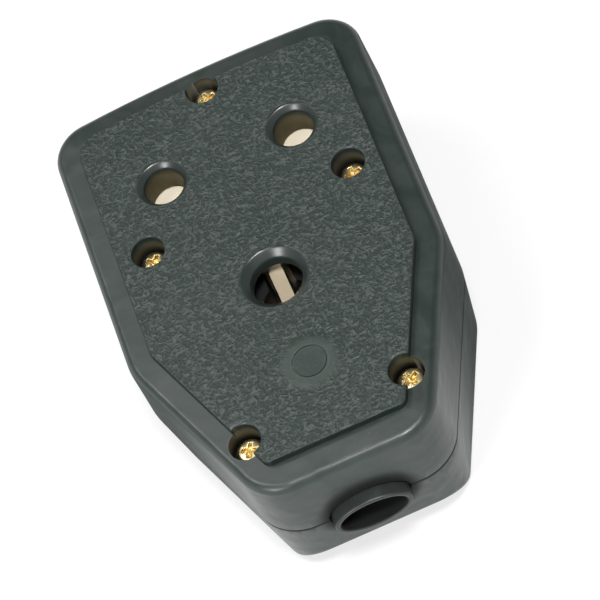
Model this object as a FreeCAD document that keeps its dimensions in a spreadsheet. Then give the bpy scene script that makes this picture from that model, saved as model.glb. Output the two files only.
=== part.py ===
"""Rubber cable coupler: a rewirable trailing socket for plugs with three round pins.

Two rubber half shells meet on a flat parting plane and are drawn together by five sunk screws. They hold an
insulating base with three split-tube contacts, a sprung shutter, an oval cable nozzle and a cord clamp.

Frame: millimetres, +Z out of the socket face, +Y from the cable nozzle towards the live and neutral holes.
The origin is the middle of the footprint on the flat back. Every size is a cell of the sheet "dims".
"""
import FreeCAD
import Part
import math
import os
import re
import Sketcher
from FreeCAD import Placement, Rotation, Vector

# Driving dimensions in millimetres and degrees
SIZES = {
    # body
    "body_width": 60.4,
    "body_length": 91.5,
    "body_depth": 33.0,
    "front_depth": 16.0,
    "end_width": 32.0,
    "shoulder_drop": 56.5,
    "top_bow": 1.6,
    "top_corner_r": 7.5,
    "shoulder_r": 12.0,
    "end_corner_r": 9.0,
    "draft": 1.0,
    "rim_round": 1.6,
    "seam_bevel": 0.3,
    "rear_lean": 6,
    "heel_in": 5,
    "heel_high": 6.2,
    "heel_round": 2.5,
    "back_bevel": 1.1,
    "wall": 2.8,
    "face_thick": 5.0,
    # raised face panel
    "panel_rise": 1.6,
    "panel_inset": 5.0,
    "panel_end_inset": 5.8,
    "panel_corner_r": 4.5,
    "panel_end_r": 1.8,
    "panel_edge": 0.3,
    # pin holes
    "pin_line_share": 0.245902,
    "pin_pitch": 25.4,
    "earth_drop": 28.58,
    "pin_bore": 7.4,
    "earth_bore": 9.4,
    "pin_lip": 1.1,
    "earth_lip": 1.5,
    "earth_roof": 3.55,
    "collar_wall": 1.4,
    "relief_side": 1.5,
    "pin_reach": 18.6,
    "earth_reach": 28.6,
    # case screws and their inserts
    "top_screw_drop": 6.4,
    "mid_screw_drop": 35.0,
    "mid_screw_span": 38.8,
    "end_screw_up": 12,
    "end_screw_span": 30.2,
    "head_sink": 3.8,
    "screw_dia": 3.5,
    "head_dia": 5.0,
    "head_room": 0.6,
    "head_high": 1.9,
    "screw_room": 0.3,
    "mouth_bevel": 0.3,
    "post_dia": 8.6,
    "insert_dia": 5.4,
    "insert_long": 7.0,
    "insert_sink": 0.3,
    "screw_bite": 6.5,
    "recess_long": 3.2,
    "recess_wide": 0.8,
    "recess_deep": 1.1,
    # shutter and its spring
    "slide_gap": 0.3,
    "shutter_drop": 2.3,
    "shutter_thick": 1.8,
    "shutter_travel": 9.0,
    "wing_in": 8.2,
    "wing_out": 17.2,
    "wing_below": 4.6,
    "wing_above": 4.3,
    "bridge_above": 1.5,
    "leg_wide": 5.0,
    "ramp_wide": 2.6,
    "ramp_lead": 0.3,
    "ramp_short": 0.4,
    "ramp_nose": 0.5,
    "seat_long": 2.4,
    "seat_setback": 2.5,
    "seat_wide": 4.6,
    "spigot_dia": 2.6,
    "spigot_long": 3.0,
    "spring_dia": 4.2,
    "spring_wire": 0.5,
    "spring_turns": 6.0,
    "spring_rest": 19.0,
    # contact base and cover
    "cover_thick": 1.6,
    "base_half": 20.3,
    "base_above": 9.5,
    "base_below": 7.5,
    "base_high": 13.0,
    "stem_half": 8.4,
    "stem_below": 8.0,
    "base_floor": 1.2,
    "base_corner_r": 1.5,
    "cover_screw_x": 5.9,
    "cover_screw_drop": 15.5,
    "cover_screw_dia": 2.3,
    "cover_head_dia": 4.4,
    "cover_head_high": 1.0,
    "cover_screw_long": 8.0,
    "rib_wide": 2.0,
    "rib_inset": 0.3,
    "rest_x": 15.0,
    # contacts
    "pin_tube_bore": 7.2,
    "earth_tube_bore": 8.9,
    "tube_wall": 1.4,
    "tube_over": 1.9,
    "tube_slot": 0.8,
    "tube_slot_deep": 7.0,
    "tube_lead": 0.6,
    "band_thick": 0.5,
    "band_high": 2.0,
    "band_drop": 0.4,
    "band_slit": 1.2,
    "pocket_room": 0.3,
    "block_wide": 5.6,
    "block_shift": 1.0,
    "block_high": 6.6,
    "block_end": 16.0,
    "earth_block_end": 12.9,
    "block_drop": 0.4,
    "wire_hole": 3.4,
    "wire_deep": 7.0,
    "wire_up": 3.2,
    "terminal_inset": 3.5,
    "terminal_dia": 2.9,
    "terminal_head_dia": 4.8,
    "terminal_head_high": 2.0,
    "terminal_lift": 0.5,
    "terminal_dip": 0.5,
    "slot_wide": 0.8,
    "slot_deep": 1.0,
    # cable nozzle
    "nozzle_reach": 2.3,
    "nozzle_wide": 14.4,
    "nozzle_high": 8.4,
    "nozzle_side": 1.1,
    "nozzle_roof": 0.95,
    "nozzle_inside": 8.7,
    "nozzle_bevel": 0.4,
    "recess_gap": 0.5,
    "recess_in": 1.5,
    "flange_wide": 19.0,
    "flange_high": 12.4,
    "flange_thick": 2.0,
    "keeper_thick": 1.6,
    # cord clamp
    "clamp_share": 0.209836,
    "clamp_wide": 6.0,
    "clamp_half": 12.6,
    "clamp_bar": 2.3,
    "clamp_foot": 3.4,
    "cord_dia": 9.4,
    "clamp_screw_x": 9.8,
    "clamp_screw_dia": 2.9,
    "clamp_head_dia": 5.2,
    "clamp_head_high": 1.8,
    "clamp_post_dia": 7.6,
    "clamp_insert_dia": 4.8,
    "clamp_insert_long": 6.5,
    "clamp_drop": 2.4,
    "fit_gap": 0.1,
}

# Places worked out from the sizes, written as expressions on them
PLACES = {
    "half_w": "body_width / 2",
    "half_end": "end_width / 2",
    "y_top": "(body_length + nozzle_reach) / 2",
    "y_end": "y_top - body_length",
    "y_shoulder": "y_top - shoulder_drop",
    "y_pin": "y_top - body_length * pin_line_share",
    "y_earth": "y_pin - earth_drop",
    "turn": "atan((half_w - half_end) / (y_shoulder - y_end))",
    "x_pin": "pin_pitch / 2",
    "z_part": "body_depth - front_depth",
    "z_rim": "body_depth - panel_rise",
    "z_inside": "body_depth - face_thick",
    "z_seat": "body_depth - head_sink - head_high",
    "y_heel": "y_end + (z_part - heel_high) * tan(rear_slope)",
    "rear_slope": "rear_lean * 1 deg",
    "heel_slope": "heel_in / heel_high",
    # stack under the face: shutter, cover, base
    "z_shutter_top": "z_inside - shutter_drop",
    "z_shutter_low": "z_shutter_top - shutter_thick",
    "z_cover_top": "z_shutter_low - slide_gap",
    "z_base_top": "z_cover_top - cover_thick",
    "z_base_low": "z_base_top - base_high",
    "y_base_top": "y_pin + base_above",
    "y_base_low": "y_pin - base_below",
    "y_stem_low": "y_earth - stem_below",
    # contacts
    "pin_tube_r": "pin_tube_bore / 2 + tube_wall",
    "earth_tube_r": "earth_tube_bore / 2 + tube_wall",
    "z_pin_foot": "body_depth - pin_reach - tube_over",
    "z_earth_foot": "wall + base_floor",
    "x_block": "x_pin - block_shift",
    "y_block": "y_pin - block_end",
    "y_earth_block": "y_earth - earth_block_end",
    "z_pin_block": "z_pin_tube_top - block_under",
    "z_earth_block": "z_earth_tube_top - block_under",
    "block_under": "band_drop + band_high + block_drop + block_high",
    "z_pin_tube_top": "z_base_top - slide_gap",
    "z_earth_tube_top": "z_ramp_low - slide_gap",
    # ramp of the shutter
    "y_ramp_top": "y_earth + earth_bore / 2 + ramp_lead",
    "y_ramp_tip": "y_earth - earth_bore / 2 + ramp_short",
    "z_ramp_tip": "z_shutter_top - (y_ramp_top - y_ramp_tip)",
    "z_ramp_low": "z_ramp_tip - ramp_nose",
    "z_ramp_head": "z_inside - slide_gap",
    "y_ramp_head": "y_ramp_top + z_ramp_head - z_shutter_top",
    "y_seat": "y_ramp_top + seat_setback + seat_long",
    "z_spring": "(z_ramp_low + z_shutter_low) / 2",
    "y_spring_end": "y_seat + spring_rest",
    "channel_half": "seat_wide / 2 + slide_gap",
    # cable nozzle and clamp
    "y_wall_in": "y_end + wall",
    "y_clamp": "y_end + body_length * clamp_share",
    "z_saddle": "z_part - clamp_drop",
    "z_clamp_foot": "z_saddle + clamp_foot",
}

doc = FreeCAD.newDocument("cable_coupler")
dims = doc.addObject("Spreadsheet::Sheet", "dims")
for row, (alias, value) in enumerate(SIZES.items(), 1):
    dims.set(f"A{row}", alias)
    dims.set(f"B{row}", str(value))
    dims.setAlias(f"B{row}", alias)
doc.recompute()


def expand(text):
    """Turn words for sizes and places into an expression on the sheet's cells."""
    def swap(match):
        word = match.group(0)
        if word in PLACES:
            return f"({expand(PLACES[word])})"
        return f"dims.{word}" if word in SIZES else word
    return re.sub(r"[a-z]\w*", swap, str(text))


def number(text):
    """Give the present value of an expression."""
    return float(dims.evalExpression(expand(text).replace("dims.", "")))


def bind(target, **properties):
    """Tie properties of an object to expressions."""
    for name, text in properties.items():
        target.setExpression(name.replace("__", "."), expand(text))


# Sketches


def new_body(label):
    """Start an empty body."""
    body = doc.addObject("PartDesign::Body", label)
    body.Label = label
    return body


def sketch_on(body, role, level):
    """Put a sketch on one of the body's own origin planes, moved along its normal to a level."""
    sketch = body.newObject("Sketcher::SketchObject", "Sketch")
    plane = next(item for item in body.Origin.OriginFeatures if item.Role == role)
    sketch.AttachmentSupport = [(plane, "")]
    sketch.MapMode = "FlatFace"
    sketch.setExpression("AttachmentOffset.Base.z", expand(level))
    return sketch


def tie(sketch, kind, *arguments):
    """Add a dimension to a sketch and tie it to an expression, its last argument."""
    *where, text = arguments
    index = sketch.addConstraint(Sketcher.Constraint(kind, *where, number(text)))
    sketch.setExpression(f"Constraints[{index}]", expand(text))


def tie_point(sketch, geometry, end, place):
    """Fix a point of a sketch by its two coordinates."""
    for kind, axis, text in zip(("DistanceX", "DistanceY"), (-2, -1), place):
        if number(text) == 0:
            sketch.addConstraint(Sketcher.Constraint("PointOnObject", geometry, end, axis))
        else:
            tie(sketch, kind, -1, 1, geometry, end, text)


def spot(place):
    """Give the present position of a pair of expressions."""
    return Vector(number(place[0]), number(place[1]), 0)


def add_loop(sketch, places):
    """Draw a closed polygon through places, each a pair of expressions."""
    first = len(sketch.Geometry)
    count = len(places)
    for index, place in enumerate(places):
        sketch.addGeometry(Part.LineSegment(spot(place), spot(places[(index + 1) % count])), False)
    for index, place in enumerate(places):
        before = first + (index - 1) % count
        sketch.addConstraint(Sketcher.Constraint("Coincident", before, 2, first + index, 1))
        tie_point(sketch, first + index, 1, place)


def add_box(sketch, left, right, low, high):
    """Draw a rectangle."""
    add_loop(sketch, [(left, low), (right, low), (right, high), (left, high)])


def add_circle(sketch, place, diameter):
    """Draw a circle about a place."""
    circle = sketch.addGeometry(Part.Circle(spot(place), Vector(0, 0, 1), number(diameter) / 2), False)
    tie_point(sketch, circle, 3, place)
    tie(sketch, "Diameter", circle, diameter)


def add_ellipse(sketch, height, wide, high):
    """Draw an upright ellipse on the sketch's vertical axis."""
    middle = spot(("0", height))
    shape = sketch.addGeometry(Part.Ellipse(middle, number(wide) / 2, number(high) / 2), False)
    sketch.exposeInternalGeometry(shape)
    long_axis, short_axis = shape + 1, shape + 2
    tie_point(sketch, shape, 3, ("0", height))
    sketch.addConstraint(Sketcher.Constraint("Horizontal", long_axis))
    tie(sketch, "Distance", long_axis, wide)
    tie(sketch, "Distance", short_axis, high)


def outline_places(inset, end_inset):
    """Give the corners of the house-shaped outline, moved in from the body's edge at the parting plane."""
    side = f"(half_w - ({inset}))"
    corner = f"(y_top - ({inset}) - top_bow * ({side} / half_w)^2)"
    shoulder = f"(y_shoulder + ({inset}) * tan(turn / 2))"
    end = f"(y_end + ({end_inset}))"
    end_side = f"(half_w - ({inset}) / cos(turn) - (y_shoulder - {end}) * tan(turn))"
    right = [(side, corner), (side, shoulder), (end_side, end)]
    left = [(f"-{x}", y) for x, y in reversed(right)]
    return right + left


def add_outline(sketch, inset="0", end_inset=None):
    """Draw the house-shaped outline: straight sides, slanted shoulders, flat end and a bowed top."""
    places = outline_places(inset, end_inset or inset)
    lines = len(places) - 1
    for start, stop in zip(places, places[1:]):
        sketch.addGeometry(Part.LineSegment(spot(start), spot(stop)), False)
    side = f"(half_w - ({inset}))"
    bow = f"(top_bow * ({side} / half_w)^2)"
    crown = Vector(0, number(f"y_top - ({inset})"), 0)
    arc = sketch.addGeometry(Part.Arc(spot(places[0]), crown, spot(places[-1])), False)
    for line in range(lines - 1):
        sketch.addConstraint(Sketcher.Constraint("Coincident", line, 2, line + 1, 1))
    sketch.addConstraint(Sketcher.Constraint("Coincident", 0, 1, arc, 1))
    sketch.addConstraint(Sketcher.Constraint("Coincident", lines - 1, 2, arc, 2))
    for line, place in enumerate(places[:-1]):
        tie_point(sketch, line, 1, place)
    tie_point(sketch, lines - 1, 2, places[-1])
    tie(sketch, "Radius", arc, f"({side}^2 + {bow}^2) / (2 * {bow})")


# Features


def pad(body, sketch, length, down=False):
    """Raise a sketch into a solid."""
    feature = body.newObject("PartDesign::Pad", "Pad")
    feature.Profile = sketch
    feature.Reversed = down
    bind(feature, Length=length)
    doc.recompute()
    return feature


def pocket(body, sketch, length, up=False):
    """Cut a sketch into the body, and make sure that it cuts."""
    before = body.Shape.Volume
    feature = body.newObject("PartDesign::Pocket", "Pocket")
    feature.Profile = sketch
    feature.Reversed = up
    bind(feature, Length=length)
    doc.recompute()
    if not body.Shape.Volume < before:
        raise RuntimeError(f"{body.Label}: a pocket cuts nothing")
    return feature


def edge_names(shape, wanted):
    """Name the edges of a shape that pass a test."""
    return [f"Edge{index}" for index, edge in enumerate(shape.Edges, 1) if wanted(edge)]


def soften(body, kind, wanted, **sizes):
    """Add a fillet or chamfer along the edges that pass a test."""
    base = body.Tip
    names = edge_names(base.Shape, wanted)
    if not names:
        raise RuntimeError(f"{body.Label}: no edge to soften")
    feature = body.newObject(f"PartDesign::{kind}", kind)
    feature.Base = (base, names)
    bind(feature, **sizes)
    doc.recompute()
    return feature


def rises(edge):
    """Tell whether an edge climbs rather than lying level."""
    return edge.BoundBox.ZLength > 1


def level_at(height):
    """Make a test for edges that lie level at a height."""
    z = number(height)
    return lambda edge: abs(edge.BoundBox.ZMin - z) < 1e-4 and abs(edge.BoundBox.ZMax - z) < 1e-4


def stands_at(place):
    """Make a test for rising edges that pass a corner of an outline, on either side."""
    x, y = number(place[0]), number(place[1])

    def wanted(edge):
        foot = min((vertex.Point for vertex in edge.Vertexes), key=lambda p: math.hypot(abs(p.x) - x, p.y - y))
        return rises(edge) and math.hypot(abs(foot.x) - x, foot.y - y) < 1e-3
    return wanted


def lean_walls(body, seam, angle, down):
    """Draft all the walls inwards, away from the flat face at the seam's level."""
    base = body.Tip
    walls = []
    for index, face in enumerate(base.Shape.Faces, 1):
        if face.BoundBox.ZLength > 1:
            walls.append(f"Face{index}")
        elif abs(face.CenterOfMass.z - number(seam)) < 1e-6:
            neutral = f"Face{index}"
    feature = body.newObject("PartDesign::Draft", "Draft")
    feature.Base = (base, walls)
    feature.NeutralPlane = (base, [neutral])
    feature.Reversed = down
    bind(feature, Angle=angle)
    doc.recompute()
    return feature


def house(name, inset, radii, depth, angle="0", down=False):
    """Make a block of the body's outline, moved in by an inset, from the parting plane up or down."""
    body = new_body(name)
    sketch = sketch_on(body, "XY_Plane", "z_part")
    add_outline(sketch, inset)
    pad(body, sketch, depth, down=down)
    for place, radius in zip(outline_places(inset, inset), radii):
        soften(body, "Fillet", stands_at(place), Radius=radius)
    lean_walls(body, "z_part", angle, down)
    return body


def cylinder(name, place, low, high, diameter):
    """Make an upright round tool or post."""
    item = doc.addObject("Part::Cylinder", name)
    bind(item, Radius=f"({diameter}) / 2", Height=f"({high}) - ({low})",
         Placement__Base__x=place[0], Placement__Base__y=place[1], Placement__Base__z=low)
    return item


def flare(name, place, low, radius, spread):
    """Make an upright cone that opens by its spread at 45 degrees."""
    item = doc.addObject("Part::Cone", name)
    bind(item, Radius1=radius, Radius2=f"({radius}) + {spread}", Height=spread,
         Placement__Base__x=place[0], Placement__Base__y=place[1], Placement__Base__z=low)
    return item


def lying_cylinder(name, x, z, front, back, diameter):
    """Make a round tool along Y, from a front to a back position."""
    item = doc.addObject("Part::Cylinder", name)
    item.Placement = Placement(Vector(), Rotation(Vector(1, 0, 0), -90))
    bind(item, Radius=f"({diameter}) / 2", Height=f"({back}) - ({front})",
         Placement__Base__x=x, Placement__Base__y=front, Placement__Base__z=z)
    return item


def block(name, x_span, y_span, z_span):
    """Make a box between three pairs of expressions."""
    item = doc.addObject("Part::Box", name)
    for side, axis, (low, high) in zip(("Length", "Width", "Height"), "xyz", (x_span, y_span, z_span)):
        bind(item, **{side: f"({high}) - ({low})", f"Placement__Base__{axis}": low})
    return item


def fuse(name, items):
    """Join solids."""
    joined = doc.addObject("Part::MultiFuse", name)
    joined.Shapes = items
    doc.recompute()
    return joined


def cut(name, base, tools):
    """Take tools away from a solid."""
    result = doc.addObject("Part::Cut", name)
    result.Base = base
    result.Tool = fuse(f"{name}_tools", tools) if len(tools) > 1 else tools[0]
    doc.recompute()
    return result


def finish(label, base):
    """Start the finished body of a sub-part from a solid made by booleans."""
    body = new_body(label)
    body.BaseFeature = base
    doc.recompute()
    return body


def group(label, shapes):
    """Make one sub-part of several like solids that stand apart."""
    item = doc.addObject("Part::Feature", label)
    item.Label = label
    item.Shape = Part.makeCompound(shapes)
    item.Placement = Placement()
    return item


def turned(label, places):
    """Turn a profile, given as radius and height, about the upright axis through the origin."""
    body = new_body(label)
    sketch = sketch_on(body, "XZ_Plane", "0")
    add_loop(sketch, places)
    feature = body.newObject("PartDesign::Revolution", "Revolution")
    feature.Profile = sketch
    feature.ReferenceAxis = (sketch, ["V_Axis"])
    feature.Angle = 360
    doc.recompute()
    return body


def copies(shape, places):
    """Copy a shape to places, each three expressions."""
    return [shape.copy().translated(Vector(*(number(text) for text in place))) for place in places]


# Places that several pieces share

CASE_SCREWS = [("0", "y_top - top_screw_drop")]
CASE_SCREWS += [(f"{side} * mid_screw_span / 2", "y_top - mid_screw_drop") for side in (-1, 1)]
CASE_SCREWS += [(f"{side} * end_screw_span / 2", "y_end + end_screw_up") for side in (-1, 1)]
LINE_PINS = [(f"{side} * x_pin", "y_pin") for side in (-1, 1)]
EARTH_PIN = ("0", "y_earth")
COVER_SCREWS = [(f"{side} * cover_screw_x", "y_pin - cover_screw_drop") for side in (-1, 1)]
CLAMP_SCREWS = [(f"{side} * clamp_screw_x", "y_clamp") for side in (-1, 1)]
TERMINALS = [(f"{side} * x_block", "y_block + terminal_inset", "z_pin_block + block_high") for side in (-1, 1)]
TERMINALS += [("0", "y_earth_block + terminal_inset", "z_earth_block + block_high")]
CORNER_RADII = ("top_corner_r", "shoulder_r", "end_corner_r")
COIL_STEPS = 12
WIRE_SIDES = 6
INNER_RADII = [f"{radius} - wall" for radius in CORNER_RADII]


def make_nozzle_window(name):
    """Make the stepped oval prism that opens the end wall for the cable nozzle and seats its flange."""
    body = new_body(name)
    sketch = sketch_on(body, "XZ_Plane", "-y_wall_in - wall")
    add_ellipse(sketch, "z_part", "nozzle_wide + 2 * fit_gap", "nozzle_high + 2 * fit_gap")
    pad(body, sketch, "3 * wall")
    seat = sketch_on(body, "XZ_Plane", "-y_wall_in - flange_thick - 2 * fit_gap")
    add_ellipse(seat, "z_part", "flange_wide + 2 * fit_gap", "flange_high + 2 * fit_gap")
    pad(body, seat, "flange_thick + 2 * fit_gap")
    recess = sketch_on(body, "XZ_Plane", "-y_end - recess_in")
    add_ellipse(recess, "z_part", "nozzle_wide + 2 * recess_gap", "nozzle_high + 2 * recess_gap")
    pad(body, recess, "recess_in + wall")
    return body


def make_front_shell():
    """Front half: drafted walls, rounded rim, raised panel, pin holes with bevelled lips, sunk screw holes."""
    form = house("front_form", "0", CORNER_RADII, "z_rim - z_part", "draft")
    soften(form, "Fillet", level_at("z_rim"), Radius="rim_round")
    soften(form, "Chamfer", level_at("z_part"), Size="seam_bevel")
    panel = sketch_on(form, "XY_Plane", "z_rim - panel_edge")
    add_outline(panel, "panel_inset", "panel_end_inset")
    pad(form, panel, "panel_rise + panel_edge")
    top_corner, _, end_corner = outline_places("panel_inset", "panel_end_inset")[:3]
    soften(form, "Fillet", stands_at_panel(top_corner), Radius="panel_corner_r")
    soften(form, "Fillet", stands_at_panel(end_corner), Radius="panel_end_r")
    soften(form, "Chamfer", level_at("body_depth"), Size="panel_edge")

    hollow = house("front_hollow", "wall", INNER_RADII, "z_inside - z_part", "draft")
    posts = [cylinder("front_post", place, "z_part - wall", "z_inside", "post_dia") for place in CASE_SCREWS]
    collars = [cylinder("pin_collar", place, "z_shutter_top + slide_gap", "z_inside", "pin_bore + 2 * collar_wall")
               for place in LINE_PINS]
    ribs = [block("front_rib", span, ("y_base_low + rib_wide", "y_base_top - rib_wide"), ("z_cover_top", "z_inside"))
            for span in (("base_half - rib_inset - rib_wide", "base_half - rib_inset"),
                         ("rib_inset - base_half", "rib_inset + rib_wide - base_half"))]
    tools = [cut("front_room", hollow, posts + collars + ribs), make_nozzle_window("front_window")]
    over = "body_depth + panel_rise"
    for place in CASE_SCREWS:
        tools.append(cylinder("head_hole", place, "z_seat", over, "head_dia + 2 * head_room"))
        tools.append(cylinder("shank_hole", place, "z_part - wall", "z_seat + wall", "screw_dia + screw_room"))
        tools.append(flare("head_mouth", place, "body_depth - mouth_bevel", "head_dia / 2 + head_room", "mouth_bevel"))
    tools += [cylinder("pin_hole", place, "z_inside - wall", over, "pin_bore") for place in LINE_PINS]
    tools.append(cylinder("earth_hole", EARTH_PIN, "z_inside - wall", over, "earth_bore"))
    tools.append(cylinder("earth_relief", EARTH_PIN, "z_inside - wall", "body_depth - earth_roof",
                          "earth_bore + 2 * relief_side"))
    shell = finish("front_shell", cut("front_cut", form, tools))
    for bore, lip in (("pin_bore", "pin_lip"), ("earth_bore", "earth_lip")):
        soften(shell, "Chamfer", mouth_of(bore), Size=lip)
    return shell


def stands_at_panel(place):
    """Make a test for the short upright corners of the raised panel."""
    x, y = number(place[0]), number(place[1])

    def wanted(edge):
        first, last = edge.Vertexes[0].Point, edge.Vertexes[-1].Point
        upright = math.hypot(first.x - last.x, first.y - last.y) < 1e-4 and abs(first.z - last.z) > 1e-4
        return upright and math.hypot(abs(first.x) - x, first.y - y) < 1e-3
    return wanted


def mouth_of(bore):
    """Make a test for the round edges where holes of a bore meet the panel."""
    radius = number(f"{bore} / 2")
    at_face = level_at("body_depth")

    def wanted(edge):
        return at_face(edge) and edge.Curve.TypeId == "Part::GeomCircle" and abs(edge.Curve.Radius - radius) < 1e-6
    return wanted


def cut_heel(body, shift):
    """Slope the back away below the cable nozzle, by a plane moved along Y."""
    low, high = "-wall", "heel_high + wall"
    far = "y_end - 3 * wall"
    heel = sketch_on(body, "YZ_Plane", "-body_width")
    places = [(f"y_heel + {shift} + (heel_high - ({level})) * heel_slope", level) for level in (low, high)]
    add_loop(heel, places + [(far, high), (far, low)])
    pocket(body, heel, "2 * body_width", up=True)


def make_rear_shell():
    """Rear half: leaning walls, sloped heel, screw bosses, base rests, cord saddle and nozzle keeper."""
    form = house("rear_form", "0", CORNER_RADII, "z_part", "rear_lean", down=True)
    cut_heel(form, "0")
    soften(form, "Fillet", level_at("heel_high"), Radius="heel_round")
    soften(form, "Chamfer", level_at("0"), Size="back_bevel")
    soften(form, "Chamfer", level_at("z_part"), Size="seam_bevel")

    hollow = house("rear_hollow", "wall", INNER_RADII, "z_part - wall", "rear_lean", down=True)
    cut_heel(hollow, "wall / cos(atan(heel_slope))")
    stays = [cylinder("rear_post", place, "0", "z_part + wall", "post_dia") for place in CASE_SCREWS]
    stays += [cylinder("clamp_post", place, "0", "z_saddle", "clamp_post_dia") for place in CLAMP_SCREWS]
    clamp_span = ("y_clamp - clamp_wide / 2", "y_clamp + clamp_wide / 2")
    saddle = block("saddle_block", ("-clamp_screw_x", "clamp_screw_x"), clamp_span, ("0", "z_saddle"))
    groove = lying_cylinder("saddle_groove", "0", "z_part", "y_clamp - clamp_wide", "y_clamp + clamp_wide", "cord_dia")
    stays.append(cut("saddle", saddle, [groove]))
    stays += [block("base_rest", (f"{side} * rest_x - rib_wide / 2", f"{side} * rest_x + rib_wide / 2"),
                    ("y_base_low + rib_wide", "y_base_top - rib_wide"), ("0", "z_base_low")) for side in (-1, 1)]
    keeper_front = "y_wall_in + flange_thick + 2 * fit_gap"
    stays.append(block("nozzle_keeper", ("-nozzle_wide / 2", "nozzle_wide / 2"),
                       (keeper_front, f"{keeper_front} + keeper_thick"), ("0", "z_part - nozzle_high / 2 - slide_gap")))
    tools = [cut("rear_room", hollow, stays), make_nozzle_window("rear_window")]
    insert_top = "z_part - insert_sink"
    for place in CASE_SCREWS:
        tools.append(cylinder("insert_hole", place, f"{insert_top} - insert_long", "z_part + wall",
                              "insert_dia + 2 * fit_gap"))
    for place in CLAMP_SCREWS:
        tools.append(cylinder("clamp_insert_hole", place, "z_saddle - clamp_insert_long", "z_saddle + wall",
                              "clamp_insert_dia + 2 * fit_gap"))
    return finish("rear_shell", cut("rear_cut", form, tools))


def make_cord_sleeve():
    """Oval rubber nozzle with a flange that the end wall holds back."""
    sleeve = new_body("cord_sleeve")
    mouth = sketch_on(sleeve, "XZ_Plane", "-y_end + nozzle_reach")
    add_ellipse(mouth, "z_part", "nozzle_wide", "nozzle_high")
    pad(sleeve, mouth, "nozzle_reach + nozzle_inside", down=True)
    flange = sketch_on(sleeve, "XZ_Plane", "-y_wall_in - fit_gap")
    add_ellipse(flange, "z_part", "flange_wide", "flange_high")
    pad(sleeve, flange, "flange_thick", down=True)
    bore = sketch_on(sleeve, "XZ_Plane", "-y_end + nozzle_reach")
    add_ellipse(bore, "z_part", "nozzle_wide - 2 * nozzle_side", "nozzle_high - 2 * nozzle_roof")
    pocket(sleeve, bore, "nozzle_reach + nozzle_inside")
    y_mouth = number("y_end - nozzle_reach")
    soften(sleeve, "Chamfer", lambda edge: abs(edge.BoundBox.YMax - y_mouth) < 1e-4, Size="nozzle_bevel")
    return sleeve


def add_t_outline(sketch, gap="0"):
    """Draw the T-shaped outline of the base and its cover."""
    right = [(f"base_half - ({gap})", "y_base_top"), (f"base_half - ({gap})", "y_base_low"),
             (f"stem_half - ({gap})", "y_base_low"), (f"stem_half - ({gap})", "y_stem_low")]
    add_loop(sketch, right + [(f"-({x})", y) for x, y in reversed(right)])


def make_contact_base():
    """Insulating block: a cross bar for the line contacts on a deep stem for the earth contact."""
    base = new_body("contact_base")
    bar = sketch_on(base, "XY_Plane", "z_base_low")
    add_box(bar, "-base_half", "base_half", "y_base_low", "y_base_top")
    pad(base, bar, "base_high")
    stem = sketch_on(base, "XY_Plane", "wall")
    add_box(stem, "-stem_half", "stem_half", "y_stem_low", "y_base_low + base_corner_r")
    pad(base, stem, "z_base_top - wall")
    corners = [("base_half", "y_base_top"), ("base_half", "y_base_low"), ("stem_half", "y_stem_low")]
    for place in corners:
        soften(base, "Fillet", stands_at(place), Radius="base_corner_r")
    wells = [(f"2 * (pin_tube_r + band_thick + pocket_room)", LINE_PINS, "z_pin_foot"),
             (f"2 * (earth_tube_r + band_thick + pocket_room)", [EARTH_PIN], "z_earth_foot")]
    for diameter, places, floor in wells:
        sketch = sketch_on(base, "XY_Plane", "z_base_top")
        for place in places:
            add_circle(sketch, place, diameter)
        pocket(base, sketch, f"z_base_top - {floor}")
    room = "block_wide / 2 + pocket_room"
    lanes = sketch_on(base, "XY_Plane", "z_base_top")
    for side in (-1, 1):
        add_box(lanes, f"{side} * x_block - ({room})", f"{side} * x_block + ({room})",
                "y_base_low - base_corner_r", "y_pin")
    pocket(base, lanes, "z_base_top - z_pin_block + pocket_room")
    lane = sketch_on(base, "XY_Plane", "z_base_top")
    add_box(lane, f"-({room})", room, "y_stem_low - base_corner_r", "y_earth")
    pocket(base, lane, "z_base_top - z_earth_block + pocket_room")
    channel = sketch_on(base, "XY_Plane", "z_base_top")
    add_box(channel, "-channel_half", "channel_half", "y_earth", "y_spring_end + fit_gap")
    pocket(base, channel, "z_base_top - z_ramp_low + slide_gap")
    holes = sketch_on(base, "XY_Plane", "z_base_top")
    for place in COVER_SCREWS:
        add_circle(holes, place, "cover_screw_dia + 2 * fit_gap")
    pocket(base, holes, "cover_screw_long")
    return base


def make_contact_cover():
    """Insulating plate over the contacts, open for the pins and along the ramp's path."""
    cover = new_body("contact_cover")
    plate = sketch_on(cover, "XY_Plane", "z_base_top")
    add_t_outline(plate)
    pad(cover, plate, "cover_thick")
    pins = sketch_on(cover, "XY_Plane", "z_cover_top")
    for place in LINE_PINS:
        add_circle(pins, place, "pin_bore + pocket_room")
    pocket(cover, pins, "cover_thick")
    earth = sketch_on(cover, "XY_Plane", "z_cover_top")
    add_circle(earth, EARTH_PIN, "earth_bore + pocket_room")
    pocket(cover, earth, "cover_thick")
    slot = sketch_on(cover, "XY_Plane", "z_cover_top")
    add_box(slot, "-channel_half", "channel_half", "y_earth", "y_seat + shutter_travel + slide_gap")
    pocket(cover, slot, "cover_thick")
    for diameter, depth in (("cover_screw_dia + 2 * fit_gap", "cover_thick"),
                            ("cover_head_dia + 2 * fit_gap", "cover_head_high")):
        holes = sketch_on(cover, "XY_Plane", "z_cover_top")
        for place in COVER_SCREWS:
            add_circle(holes, place, diameter)
        pocket(cover, holes, depth)
    return cover


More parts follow.
